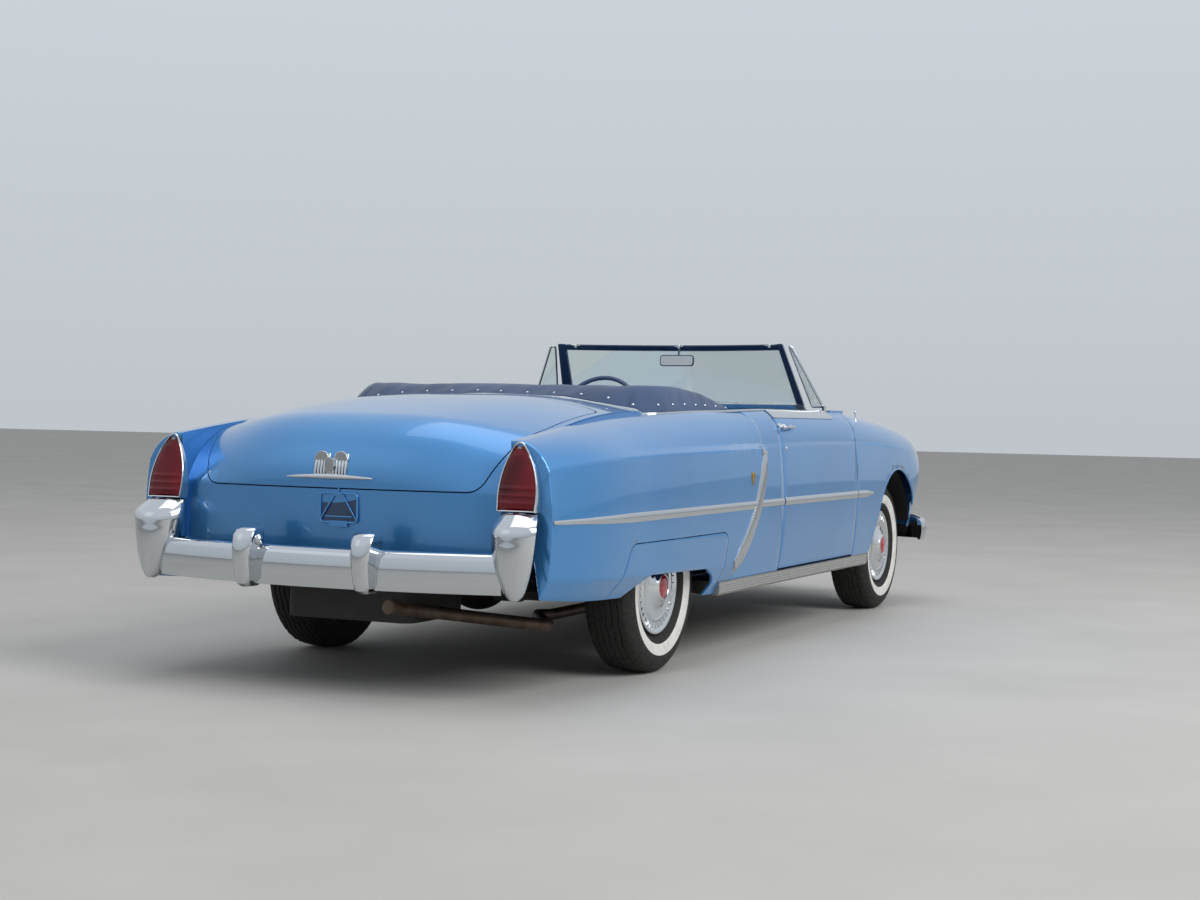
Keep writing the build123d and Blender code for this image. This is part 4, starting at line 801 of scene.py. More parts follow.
carve(skirt, prism("cut", skirtOutline, "x", 700, 1100), "INTERSECT")
carve(skirt, prism("cut", openingOutline, "x", 700, 1100))
bothSides(soften(skirt, 1.5), "skirtSkin", bodyPaint, "body_paint", "root", ("skirts",))

# the jamb behind the door
jamb = prism("jamb", [(728, 146), (833, 146), (900, 156), (900, 172), (728, 172)], "z", 349, 1010)
bothSides(soften(jamb, 1.0), "doorJamb", bodyPaint, "body_paint")

# inside the trunk: wheelhouses and side plates
rearWell = wheelhouse("rearWell", rearHubY, wellLook["rearRadius"], 600, 952)
wellWall = hubArc(rearHubY, wellLook["rearRadius"] + wellLook["wall"], 14, 166, 25)
wellSide = prism("wellSide", wellWall, "x", 600, 606)
rearWell = join("rearWell", [smooth(rearWell), smooth(wellSide)])
bothSides(rearWell, "rearWell", blackPaint, "chassis_black")
deckEdge = arcThrough((1296, 1070), (1723, 1049), (2150, 976), np.linspace(0, 1, 40))
sideTop = []
for y in spread(2443, 1310, 30):
    # as high as the belt, and up to the deck's edge ahead of the tail
    underDeck = lineAt(deckEdge, y) - 5 if y < 2100 else 0
    sideTop.append((y, max(beltTop(quarterRows, y) - 1, underDeck)))
sideTop += [(1292, 1064), (640, 1064)]
trunkSide = prism("trunkSide", [(640, 545), (2441, 545)] + sideTop, "x", 727, 732)
carve(trunkSide, archCutter(rearHubY, 444, 700, 760))
bothSides(smooth(trunkSide), "trunkSide", bodyPaint, "body_paint")
print("sides made")

# rear deck, trunk lid, hood and nose: crowned both ways
crownRows = {
    # x, then start z, crest y z, round y z, edge y z, low y
    "deck": [
        (0, 1132, 2290, 1046, 2434, 962, 2504, 770, 2490),
        (380, 1122, 2280, 1030, 2418, 948, 2486, 768, 2474),
        (726, 1070, 2150, 976, 2320, 890, 2412, 762, 2420),
    ],
    "hood": [
        (0, 1130, -2120, 1092, -2440, 990, -2560, 820, -2566),
        (330, 1116, -2110, 1074, -2420, 972, -2540, 812, -2546),
        (596.5, 1082, -2080, 1030, -2360, 940, -2478, 800, -2484),
    ],
}
# where a crown starts, how low its end goes, and how much its middle rises
crownSpan = {"deck": (1296, 470, 26), "hood": (-1135.5, 600, 14)}


def crownSection(kind, row):
    startZ, crestY, crestZ, roundY, roundZ, edgeY, edgeZ, lowY = row
    startY, lowZ, rise = crownSpan[kind]
    middle = ((startY + crestY) / 2, (startZ + crestZ) / 2 + rise)
    section = arcThrough((startY, startZ), middle, (crestY, crestZ), evenShares(24)[:-1])
    section += arcThrough((crestY, crestZ), (roundY, roundZ), (edgeY, edgeZ), evenShares(24))
    section += [(edgeY + (lowY - edgeY) * t, edgeZ + (lowZ - edgeZ) * t)
                for t in (0.05, 0.25, 0.5, 0.75, 1.0)]
    return section


def crownAt(kind, x):
    # the table holds the left half, and the right one mirrors it
    rows = crownRows[kind]
    return crownSection(kind, tableAt([(-row[0],) + row[1:] for row in rows[:0:-1]] + rows, x))


def crownGrid(kind, halfWidth):
    return [[(x, y, z) for y, z in crownAt(kind, x)] for x in np.linspace(-halfWidth, halfWidth, 49)]


def crownY(kind, x, z):
    # how far out the steep end of a crown stands at a place
    return lineAt([(-up, along) for along, up in crownAt(kind, x)[20:]], -z)


lidHalf, lidFront, lidLow = 694, 1560, 762


def lidCutters(grow):
    # the lid's plan and its rear face, grown all round
    half, front = lidHalf + grow, lidFront - grow
    plan = [(-half, 2800), (-half, front + 90), (90 - half, front + 30), (-260, front), (260, front),
            (half - 90, front + 30), (half, front + 90), (half, 2800)]
    foot, high = lidHalf - 97 + grow * 0.7, lidHalf + 8 + grow
    face = [(foot, lidLow - grow), (high, lidLow + 250), (high, 1400), (-high, 1400), (-high, lidLow + 250),
            (-foot, lidLow - grow)]
    return (prism("plan", rounded(plan, (0, 80, 80, 200, 200, 80, 80, 0)), "z", 500, 1300),
            prism("face", rounded(face, (75 + grow, 0, 0, 0, 0, 75 + grow), 12), "y", 1400, 2900))


deckGrid = crownGrid("deck", 726)
lid = shell("lid", deckGrid, 9)
for cutter in lidCutters(0):
    carve(lid, cutter, "INTERSECT")
lid = soften(lid, 2.5)
lidRim = shell("lidRim", [[(x, y - 5, z - 5) for x, y, z in row] for row in deckGrid], 22)
for cutter in lidCutters(-3):
    carve(lidRim, cutter, "INTERSECT")
inner, face = lidCutters(-45)
carve(inner, face, "INTERSECT")
carve(lidRim, inner)
lid = join("trunkLidSkin", [lid, smooth(lidRim)])
dress(lid, bodyPaint, "trunk_lid", "body_paint", "trunk_lid").name = "trunkLidSkin"
deck = shell("deck", deckGrid, 9)
hole, face = lidCutters(5)
carve(hole, face, "INTERSECT")
carve(deck, hole)
dress(soften(deck, 2.5), bodyPaint, "root", "body_paint", "rear_deck").name = "rearDeckSkin"

hoodGrid = crownGrid("hood", 596.5)
hoodSkin = shell("hoodSkin", hoodGrid, -9)
carve(hoodSkin, prism("cut", rectangle(-900, 905, 900, 1400), "y", -2800, -900), "INTERSECT")
hoodRim = shell("hoodRim", [[(x, y + 5, z - 5) for x, y, z in row] for row in hoodGrid], -30)
carve(hoodRim, prism("cut", rectangle(-900, 908, 900, 1400), "y", -2800, -900), "INTERSECT")
carve(hoodRim, prism("cut", rectangle(-552, 940, 552, 1400), "y", -2440, -1175))
hoodSkin = join("hoodSkin", [soften(hoodSkin, 2.5), smooth(hoodRim)])
dress(hoodSkin, bodyPaint, "hood", "body_paint", "hood")
noseSkin = shell("noseSkin", crownGrid("hood", 601), -9)
carve(noseSkin, prism("cut", rectangle(-900, 899.5, 900, 1400), "y", -2800, -900))
mouth = rectangle(-560, 645, 560, 795)
carve(noseSkin, prism("cut", rounded(mouth, 40), "y", -2900, -2300))
dress(soften(noseSkin, 2.5), bodyPaint, "root", "body_paint", "nose_panel")

# apron under the nose: a pressed panel that closes the front down behind the bumper
apronLine = [(0, -2540, 604), (300, -2530, 604), (560, -2505, 606), (600, -2496, 612), (740, -2484, 622),
             (820, -2462, 626), (856, -2400, 612), (874, -2330, 600), (886, -2270, 590), (894, -2215, 580)]
apronLow = 440
grid = []
for x, y, z in smoothPath(apronLine, 30):
    bulge = 14 if x < 700 else 2
    grid.append([(x * (1 - 0.02 * t * t), y - bulge * math.sin(t * 2.2), z - (z - apronLow) * t)
                 for t in np.linspace(0, 1, 12)])
full = [[(-x, y, z) for x, y, z in row] for row in grid[:0:-1]] + grid
apron = soften(shell("apron", full, -5), 1.5)
dress(apron, bodyPaint, "root", "body_paint").name = "frontApron"
print("crowned panels made")

# ---- rear bumper: a rolled blade, upright ends and two guards

bumperLook = {"low": 403, "height": 146, "wall": 24, "half": 750, "endY": 2548, "middleY": 2668,
              "guardX": 257, "guardFront": 2608, "rearEnd": 2719, "ironX": 400}


def bladeSection(height, wall):
    shares = evenShares(8)
    face = arcThrough((-14, 0), (0, height * 0.4), (-4, height * 0.8), shares[:-1])
    face += arcThrough((-4, height * 0.8), (-14, height * 0.94), (-40, height), shares)
    back = [(-40, height - 6), (-30, height - 16), (-12 - wall, height * 0.74), (-wall, height * 0.4),
            (-10 - wall, 0)]
    return face + back


def bladeAlong(line, look, scales=None):
    # the section's first number is how far it stands out from the line
    section = [(-out, up) for out, up in bladeSection(look["height"], look["wall"])]
    return soften(swept("blade", [(x, y, look["low"]) for x, y in line], section, scales=scales), 0.8)


def bumperIron(side, fromY, toY, low, high):
    x = side * bumperLook["ironX"]
    return soften(prism("iron", rounded(rectangle(x - 25, fromY, x + 25, toY), 4, 2), "z", low, high), 1.0)


half, endY = bumperLook["half"], bumperLook["endY"]
pieces = [bladeAlong(arcThrough((-half, endY), (0, bumperLook["middleY"]), (half, endY), evenShares(60)),
                     bumperLook)]
shieldRows = [
    # z, then inner, middle and outer point of the upright end, each as x, y
    (388, 778, 2538, 797, 2548, 816, 2538),
    (394, 768, 2534, 796, 2552, 822, 2536),
    (412, 752, 2528, 793, 2561, 835, 2536),
    (445, 735, 2522, 790, 2572, 848, 2536),
    (530, 698, 2508, 786, 2584, 868, 2536),
    (600, 685, 2500, 785, 2583, 877, 2535),
    (636, 680, 2496, 784, 2579, 880, 2534),
    (644, 681, 2494, 784, 2574, 879, 2532),
    (664, 686, 2485, 782, 2552, 871, 2512),
    (682, 694, 2476, 780, 2528, 861, 2489),
    (690, 698, 2470, 780, 2518, 856, 2480),
    (696, 702, 2462, 780, 2508, 852, 2470),
]


def shieldLoop(row):
    z, inner, middle, outer = row[0], row[1:3], row[3:5], row[5:7]
    face = arcThrough(inner, middle, outer, evenShares(16))
    back = [(x + (middle[0] - x) * 0.06, y - 14) for x, y in face[::-1]]
    return [(x, y, z) for x, y in face + back]


for side in (1, -1):
    loops = []
    for z in spread(388, 644, 16) + [654, 664, 673, 682, 690, 696]:
        row = tableAt(shieldRows, z)
        loops.append([(side * x, y, h) for x, y, h in shieldLoop((z, *row))])
    pieces.append(smooth(lofted("shield", loops), 50))

guardRows = [
    # z, half width, how far the face stands short of the rear end
    (392, 20, 40), (397, 27, 28), (410, 31, 20), (450, 35, 8), (505, 38, 0), (560, 43, 4), (585, 45, 12),
    (602, 43, 26), (610, 38, 42), (614, 26, 60),
]
for side in (1, -1):
    loops = []
    for z in spread(392, 600, 13) + [604, 608, 611, 614]:
        half, reach = tableAt(guardRows, z)
        tip, front = bumperLook["rearEnd"] - reach, bumperLook["guardFront"]
        loop = arcThrough((-half, tip - 22), (0, tip), (half, tip - 22), evenShares(16))
        loop += [(half, front + 6), (half - 6, front), (6 - half, front), (-half, front + 6)]
        loops.append([(side * bumperLook["guardX"] + x, y, z) for x, y in loop])
    pieces.append(soften(lofted("guard", loops), 1.0))
pieces += [bumperIron(side, 2500.3, 2612, 405, 445) for side in (1, -1)]
dress(join("rearBumperPlate", pieces), chrome, "root", "chrome", "rear_bumper")

# small domed stub on the inner side of the left guard
stub = [(226, 0), (226, 21), (212, 22), (204, 19), (199, 12), (197, 0)]
stub = smooth(turned("guardStub", stub, 24, "x", (0, 2648, 566)), 50)
dress(stub, chrome, "root", "chrome")

# ---- tail lamps: ruby lenses with three ribs, in bright bezels

lampLook = {"x": 775, "tipX": 766, "low": 698, "high": 950, "half": 77, "rim": 8, "lowY": 2504,
            "highY": 2460, "backY": 2447}


def lampOutline(inset, steps=14):
    x, tip, low, high, half = (lampLook[key] for key in ("x", "tipX", "low", "high", "half"))
    shares = evenShares(steps)[:-1]
    line = [(x - half + 2 * half * k / 6, low) for k in range(6)]
    line += arcThrough((x + half, low), (x + 63, 850), (tip + 22, high - 12), shares)
    line += arcThrough((tip + 22, high - 12), (tip, high), (tip - 22, high - 12), evenShares(6)[:-1])
    line += arcThrough((tip - 22, high - 12), (x - 71, 845), (x - half, low), shares)
    if not inset:
        return line
    made = []
    for i, (a, b) in enumerate(line):
        before, after = line[i - 1], line[(i + 1) % len(line)]
        along = Vector((after[0] - before[0], after[1] - before[1])).normalized()
        made.append((a - along.y * inset, b + along.x * inset))
    return made


def lampFaceY(z, back):
    share = (z - lampLook["low"]) / (lampLook["high"] - lampLook["low"])
    return lampLook["lowY"] + (lampLook["highY"] - lampLook["lowY"]) * share - back


outer, inner = lampOutline(0), lampOutline(lampLook["rim"])
loops = [[(x, lampLook["backY"], z) for x, z in outer], [(x, lampFaceY(z, 14), z) for x, z in outer]]
for share, back in ((0.35, 9), (0.8, 10)):
    loops.append([(x + (u - x) * share, lampFaceY(z, back), z + (w - z) * share)
                  for (x, z), (u, w) in zip(outer, inner)])
loops += [[(u, lampFaceY(w, 14), w) for u, w in inner], [(u, lampLook["backY"], w) for u, w in inner]]
bezel = smooth(lofted("bezel", loops, True), 45)
dress(pair("tailBezelRims", bezel), chrome, "root", "chrome", "tail_bezels")

ribPlaces = [730, 757, 784]
lensTop = 936
lensOutline = lampOutline(lampLook["rim"] - 0.5, 24)
rows = []
for z in spread(lampLook["low"] + 8, lensTop, 3.2):
    # where the outline crosses this height
    crossings = []
    for k in range(len(lensOutline)):
        (xa, za), (xb, zb) = lensOutline[k - 1], lensOutline[k]
        if (za - z) * (zb - z) <= 0 and za != zb:
            crossings.append(xa + (xb - xa) * (z - za) / (zb - za))
    low, high = min(crossings), max(crossings)
    rib = sum(max(0, 1 - ((z - place) / 6) ** 4) for place in ribPlaces)
    fadeOut = min(1, (lensTop - z) / 34) * min(1, (z - lampLook["low"] - 6) / 12)
    row = []
    for k in range(25):
        share = 2 * k / 24 - 1
        bulge = math.sqrt(max(0, 1 - (share * 0.96) ** 2))
        row.append(((low + high) / 2 + share * (high - low) / 2,
                    lampFaceY(z, 18) + (17 * bulge + rib * 5 * bulge) * fadeOut, z))
    rows.append(row)
lens = smooth(shell("lens", rows, 5), 70)
dress(pair("tailLampLenses", lens), redLens, "root", "red_lens", "tail_lamps")
reflector = lofted("reflector", [[(x, lampLook["backY"], z) for x, z in lampOutline(16)],
                                 [(x, lampLook["backY"] + 5, z) for x, z in lampOutline(18)]])
bothSides(smooth(reflector), "lampReflector", chrome, "chrome")
print("tail made")

# ---- bright trim on the sides

trimLook = {"height": 36, "proud": 9, "rearProud": 6.2, "pointY": 2440, "frontY": -1262}


def mouldingPath(start, end):
    return [(y, 663 + 4 * math.cos((y + 200) / 1600)) for y in spread(start, end, 24)]


spans = {"quarter": (531, trimLook["pointY"], quarterRows, "root", trimLook["rearProud"]),
         "door": (-979, 152, doorRows, "door_{}", trimLook["proud"]),
         "fender": (trimLook["frontY"], -987, frontRows, "root", trimLook["proud"])}
for base, (start, end, rows, body, proud) in spans.items():
    path = mouldingPath(start, end)
    heights = []
    for y, z in path:
        taper = 1.0
        if base == "quarter":
            taper = min(1, 0.45 + (trimLook["pointY"] - y) / 900)
        if base == "fender":
            taper = min(1, 0.35 + (y - trimLook["frontY"]) / 160)
        heights.append(trimLook["height"] * taper)
    strip = smooth(sideStrip("strip", rows, path, heights, proud), 50)
    bothSides(strip, base + "Moulding", chrome, "chrome", body)
base = smooth(sideStrip("strip", doorRows, mouldingPath(166, 514), 34, trimLook["proud"]), 50)
bothSides(base, "baseMoulding", chrome, "chrome")

# wide ribbed strip down the front edge of the bulge, hooked over at its top
path = [(y + 43, z) for y, z in arcThrough(*scoopArc, evenShares(40))]
path[:3] = [(516, 913), (494, 909), (480, 895)]
widths = [88 * (0.35 + 0.65 * min(1, k / 6)) * (1 if k < 36 else 0.85) for k in range(len(path))]
pieces = [smooth(sideStrip("scoopStrip", quarterRows, path, widths, 8), 50)]
for k in range(2, 39):
    y, z = path[k]
    ahead = Vector((path[k + 1][0] - path[k - 1][0], path[k + 1][1] - path[k - 1][1])).normalized()
    across = Vector((-ahead.y, ahead.x)) * widths[k] * 0.38
    rib = []
    for t in (1, 0.5, 0, -0.5, -1):
        at = (y + across.x * t, z + across.y * t)
        rib.append((sideX(quarterRows, *at) + 7.2 - 2.4 * abs(t), *at))
    pieces.append(swept("rib", rib, circle(2.6, 6), (1, 0, 0)))
bothSides(join("scoopStrip", pieces), "scoopStrip", chrome, "chrome")

# small gilt shield beside the scoop
shield = [(622, 812), (650, 812), (654, 796), (649, 772), (636, 750), (623, 772), (618, 796)]
x = sideX(quarterRows, 636, 785)
plate = prism("plate", rounded(shield, 5, 3), "x", x - 2, x + 4)
bothSides(soften(plate, 1.2), "giltShield", gilt, "chrome")


def beltZ(x, y):
    # the flat top of the body sides, and the deck behind the boot
    if y > 1292 and abs(x) < 727:
        return lineAt(((0, 1132), (380, 1122), (726, 1070)), abs(x))
    if y < 430:
        return float(beltTop(doorRows, max(y, 161)))
    return float(max(beltTop(quarterRows, y), beltTop(doorRows, y) if y < 860 else 0))


# belt moulding that runs right round the boot, and the deep moulding on the door's top
beltRoute = [(845, 168), (843, 400), (832, 640), (806, 860), (794, 1040), (790, 1160), (776, 1246),
             (728, 1294), (640, 1308), (420, 1312), (0, 1314)]
route = []
for x, y, z in smoothPath([(x, y, 0) for x, y in beltRoute], 26):
    route.append((x, y, beltZ(x, y) + 2 + 0.02 * max(0, 726 - x) * (x > 640)))
whole = route + [(-x, y, z) for x, y, z in route[-2::-1]]
section = rounded([(-13, -6), (13, -6), (11, 4), (-11, 4)], 3, 3)
band = smooth(swept("belt", whole, section), 50)
dress(band, chrome, "root", "chrome").name = "beltMoulding"
doorTop = [(852, 1093), (846, 1096.5), (829, 1097), (827, 1095), (827, 1087), (846, 1086)]
loops = []
for y in spread(-742, 152, 60):
    outer = [(sideX(doorRows, y, z) + 4.5, y, z) for z in (1056, 1060, 1068, 1076, 1083)]
    loop = [(outer[0][0] - 5, y, 1055)] + outer + [(x, y, z) for x, z in doorTop]
    loops.append(loop + [(sideX(doorRows, y, 1072) - 4, y, 1072)])
bothSides(smooth(lofted("doorTop", loops), 50), "doorTopMoulding", chrome, "chrome", "door_{}")

# ribbed rocker trim on the sills
ribs = []
for k in range(9):
    z = 292 + k * 5.2
    ribs.append((930.5 + (z - 290) * 0.03 + (2.4 if k % 2 else 0), z))
profile = [(880, 284), (922, 285)] + ribs + [(933, 342), (928, 344.6), (712, 344.6), (712, 300)]
loops = [[(x, y, z) for x, z in profile] for y in [-1252, -1251] + spread(-1200, 899, 300)]
sill = smooth(lofted("sill", loops), 25)
bothSides(sill, "sillTrim", sillSteel, "sill_steel", "root", ("sills",))

# push-button handles and locks
handleLook = {"z": 1012, "stand": 34, "buttonY": 122, "footY": -40, "lockY": 93, "lockZ": 911}
z, stand = handleLook["z"], handleLook["stand"]
x = sideX(doorRows, 90, z)
grip = [(x + out - 8, y, z) for y, out in ((132, 2), (126, 20), (112, stand), (60, stand + 4),
                                           (0, stand + 2), (-30, 24), (-42, 4))]
handle = smooth(swept("grip", smoothPath(grip, 9), circle(9, 12, 0.7)))
plate = rounded([(158, 1026), (72, 1026), (104, 982), (118, 974)], (10, 12, 8, 6), 4)
pieces = [handle, soften(prism("plate", plate, "x", x - 9, x + 5), 2.5)]
lockX = sideX(doorRows, handleLook["lockY"], handleLook["lockZ"])
rounds = (
    # button, its cup, the cup at the grip's other end, and the lock
    ([(-8, 0), (-8, 13), (22, 13), (27, 10), (27, 0)], 20, (x, handleLook["buttonY"], z)),
    ([(-14, 0), (-14, 20), (-2, 18), (2, 14), (2, 0)], 24, (x, handleLook["buttonY"], z)),
    ([(-14, 0), (-14, 15), (-2, 13), (1, 10), (1, 0)], 24, (x, handleLook["footY"], z)),
    ([(-4, 0), (-4, 12), (2, 12), (4, 9), (4, 0)], 20, (lockX, handleLook["lockY"], handleLook["lockZ"])),
)
for profile, turns, place in rounds:
    pieces.append(soften(turned("round", profile, turns, "x", place), 0.6))
bothSides(join("handle", pieces), "doorHandle", chrome, "chrome", "door_{}")

# aerial, pushed down into its base on the right fender
aerialPlace = (-884, -1157, 0)
mast = [(1010, 0), (1010, 17), (1030, 17), (1040, 12), (1052, 8), (1056, 4), (1086, 3), (1088, 6),
        (1094, 7), (1100, 4), (1101, 0)]
mast = smooth(turned("aerial", mast, 24, "z", aerialPlace), 50)
dress(mast, chrome, "root", "chrome")
print("side trim made")

# ---- trunk lid: a plain winged ornament over a long spear, and a blank plate holder
ornamentLook = {"half": 190, "z": 803, "drop": 4, "wingLow": 812, "wingHigh": 896, "feathers": 5}
route = []
for x in np.linspace(-ornamentLook["half"], ornamentLook["half"], 25):
    z = ornamentLook["z"] - ornamentLook["drop"] * (x / ornamentLook["half"]) ** 2
    route.append((x, crownY("deck", x, z) + 9, z))
scales = [max(0.12, (1 - abs(k - 12) / 12) ** 0.45) for k in range(25)]
pieces = [smooth(swept("spear", route, circle(13, 12, 0.9), scales=scales))]
wingLine = ((4, 806), (10, 872), (24, 894), (46, 899), (64, 890), (73, 868), (74, 806))
featherScales = [0.8, 1, 1, 1, 1, 0.95, 0.7]
for side in (1, -1):
    wing = rounded([(side * x, z) for x, z in wingLine], (0, 8, 10, 12, 12, 12, 0), 4)
    face = crownY("deck", side * 38, 850)
    pieces.append(soften(prism("wing", wing, "y", face - 10, face + 4), 2.0))
    for k in range(ornamentLook["feathers"]):
        # raised feathers on the wing
        x = side * (14 + k * 13)
        high = ornamentLook["wingHigh"] - abs(k - 2) * 4
        path = [(x, crownY("deck", x, z) + 4, z) for z in np.linspace(ornamentLook["wingLow"], high, 7)]
        feather = swept("feather", path, circle(5.6, 10, 0.8), (0, -1, 0), scales=featherScales)
        pieces.append(smooth(feather))
badge = [(-19, 868), (0, 876), (19, 868), (21, 842), (14, 814), (0, 796), (-14, 814), (-21, 842)]
face = crownY("deck", 0, 840)
pieces.append(soften(prism("badge", rounded(badge, 6, 3), "y", face - 6, face + 16), 2.0))
dress(join("lidOrnament", pieces), chrome, "trunk_lid", "chrome")

holderY = 2506
line = rounded(rectangle(-122, 634, 40, 742), 16)
line = [(x, holderY, z) for x, z in line + line[:1]]
pieces = [smooth(swept("holder", line, circle(4, 8), (0, 1, 0), False))]
for (ax, az), (bx, bz) in (((-122, 640), (-60, 735)), ((40, 640), (-22, 735)), ((-60, 735), (-22, 735)),
                           ((-41, 735), (-41, 765)), ((-100, 655), (18, 655))):
    wire = [(ax, holderY, az), ((ax + bx) / 2, holderY + 1, (az + bz) / 2), (bx, holderY, bz)]
    pieces.append(swept("wire", wire, circle(3, 8), (0, 1, 0)))
plateBlank = prism("plateBlank", rounded(rectangle(-116, 640, 34, 736), 10), "y", 2498, 2501)
pieces.append(soften(prism("foot", rectangle(-80, 616, 0, 640), "y", 2490, 2510), 2))
dress(join("plateHolder", pieces), bodyPaint, "root", "body_paint")
dress(soften(plateBlank, 0.6), dashPaint, "root", "body_paint").name = "plateBlank"

# exhaust outlet with a rolled end
profile = [(2560, 19), (2560, 26), (2612, 27), (2616, 25.5), (2616, 22), (2600, 20)]
outlet = turned("outlet", profile, 32, "y", (-332, 0, 345), True)
dress(smooth(outlet), exhaustSteel, "root", "exhaust_steel").name = "exhaustOutlet"
print("tail trim made")


# ---- front bumper, bullets, grille and headlamps

frontLook = {"low": 360, "height": 150, "wall": 24, "half": 800, "endY": -2560, "middleY": -2640,
             "straight": 765, "bulletX": 330, "bulletZ": 470, "bulletBase": -2569, "tip": -2719}
half, endY = frontLook["half"], frontLook["endY"]
corner = arcThrough((935, -2330), (905, -2487), (780, -2551), evenShares(18)[:-1])
line = arcThrough((half, endY), (0, frontLook["middleY"]), (-half, endY), evenShares(60))
line = [p for p in line if abs(p[0]) < frontLook["straight"]]
scales = [0.8 + 0.2 * (k / 17) ** 2 for k in range(18)]
pieces = [bladeAlong(corner + line + [(-x, y) for x, y in corner[::-1]], frontLook,
                     scales + [1.0] * len(line) + scales[::-1])]
base, tip = frontLook["bulletBase"], frontLook["tip"]
profile = [(base + 20, 0), (base + 20, 60), (base - 2, 63), (base - 8, 60), (base - 8, 58)]
profile += arcThrough((base - 8, 58), (base - 93, 46.4), (tip + 8, 14), evenShares(14)[1:])
profile += [(tip + 3, 9), (tip + 0.5, 4), (tip, 0)]
for side in (1, -1):
    bullet = turned("bullet", profile, 48, "y", (side * frontLook["bulletX"], 0, frontLook["bulletZ"]))
    pieces.append(smooth(bullet, 40))
    pieces.append(bumperIron(side, -2610, -2540.3, 366, 420))
dress(join("frontBumperPlate", pieces), chrome, "root", "chrome", "front_bumper")

grilleLook = {"z": 720, "half": 548.7, "endY": -2484, "middleY": -2556, "height": 50, "teeth": 7,
              "spacing": 128, "toothWidth": 36, "toothHeight": 112, "toothDepth": 46}
half, endY, middleY, barZ = (grilleLook[key] for key in ("half", "endY", "middleY", "z"))
line = arcThrough((half, endY), (0, middleY), (-half, endY), evenShares(48))
section = rounded(rectangle(-11, -grilleLook["height"] / 2, 11, grilleLook["height"] / 2), (5, 9, 9, 5), 4)
pieces = [smooth(swept("bar", [(x, y, barZ) for x, y in line], section), 50)]
wide, tall = grilleLook["toothWidth"] / 2, grilleLook["toothHeight"] / 2
for i in range(grilleLook["teeth"]):
    x = (i - 3) * grilleLook["spacing"]
    back = middleY + (endY - middleY) * (x / half) ** 2 + 12
    tooth = arcThrough((back, barZ - tall), (back - grilleLook["toothDepth"], barZ), (back, barZ + tall),
                       evenShares(20))
    pieces.append(soften(prism("tooth", tooth, "x", x - wide, x + wide), 7, segments=3))
for z in (668, 694, 746, 772):
    pieces.append(swept("slat", [(x, y + 40, z) for x, y in line], circle(5, 8, 0.7)))
dress(join("grilleBar", pieces), chrome, "root", "chrome", "grille")
surround = [(x * 1.004, crownY("hood", x, z) - 2, z + (2 if z > barZ else -2))
            for x, z in rounded(mouth, 40, 8)]
surround = swept("mouthTrim", surround + surround[:1], circle(8, 10, 0.8), (0, -1, 0), False)
dress(smooth(surround), chrome, "root", "chrome").name = "mouthTrim"

lampPlace = (742, -2480.3, 836)
dome = arcThrough((-56, 0), (-46, 56), (-30, 86), evenShares(14))
profile = [(along - 6, radius) for along, radius in dome] + [(-30, 86), (-4, 84), (-4, 0)]
lampPiece = smooth(turned("lamp", profile, 48, "y", lampPlace), 50)
dress(pair("headlampLenses", lampPiece), lampGlass, "root", "lamp_glass", "headlamps")
profile = [(-1, 84), (-1, 101.5), (-14, 101.8), (-30, 99), (-42, 94), (-47, 90), (-45, 86.5), (-34, 86),
           (-30, 84)]
ring = smooth(turned("ring", profile, 48, "y", lampPlace, True), 50)
dress(pair("headlampRims", ring), chrome, "root", "chrome")

# hood ornament: a plain low spear
hoodLine = crownSection("hood", crownRows["hood"][0][1:])[::-1]
spear = [(0, y, lineAt(hoodLine, y) + 8) for y in np.linspace(-2080, -2405, 20)]
scales = [0.3 + 0.7 * math.sin(math.pi * (k + 1) / 13) ** 0.7 for k in range(7)]
scales += [1 - 0.75 * ((k - 6) / 13) ** 2 for k in range(7, 20)]
ornament = smooth(swept("hoodSpear", spear, circle(14, 12, 0.9), scales=scales))
dress(ornament, chrome, "hood", "chrome").name = "hoodSpear"
print("front made")

# ---- wheels: full covers over black steel rims, and cross-ply tyres with a white side band

wheelLook = {"track": 755, "groove": 6.0, "whiteIn": 236, "whiteOut": 285, "vanes": 36}
rimProfile = [(6, 26.3), (-70, 26.3), (-70, 52), (-66, 142), (-20, 142), (-14, 150), (-2, 172), (-50, 177),
              (-75, 185), (-75, 204), (-71, 204), (-71, 191), (70, 191), (70, 198), (73.5, 198),
              (73.5, 150), (60, 120), (20, 60)]
coverProfile = [(71, 198.8), (78, 199), (81.5, 197), (83, 192), (81, 186), (77, 178), (75, 168),
                (74.5, 152), (77, 146), (80.5, 143), (81.5, 138), (79, 133), (78, 122), (79, 106),
                (82, 94), (87, 84), (91, 79), (93, 74), (97, 64), (104, 59), (108, 54), (109, 50),
                (106, 46.5), (100, 46), (94, 56), (76, 90), (71, 130), (71, 180)]
badgeProfile = [(102, 47), (106, 47), (111, 40), (114.5, 26), (116.5, 12), (117, 0), (100, 0)]
bead, shoulder = ((-66, 205), (-96, 236), (-104, 272)), ((-104, 272), (-98, 322), (-78, 347))
outline = [(-66, 191.3), (-66, 205)]
outline += arcThrough(*bead, evenShares(8)[1:]) + arcThrough(*shoulder, evenShares(10)[1:])
crown = arcThrough((-78, 347), (0, 355), (78, 347), evenShares(46)[1:-1])
firstCrown = len(outline)
outline += crown + [(-a, r) for a, r in outline[::-1]]
steps = 288
loops = []
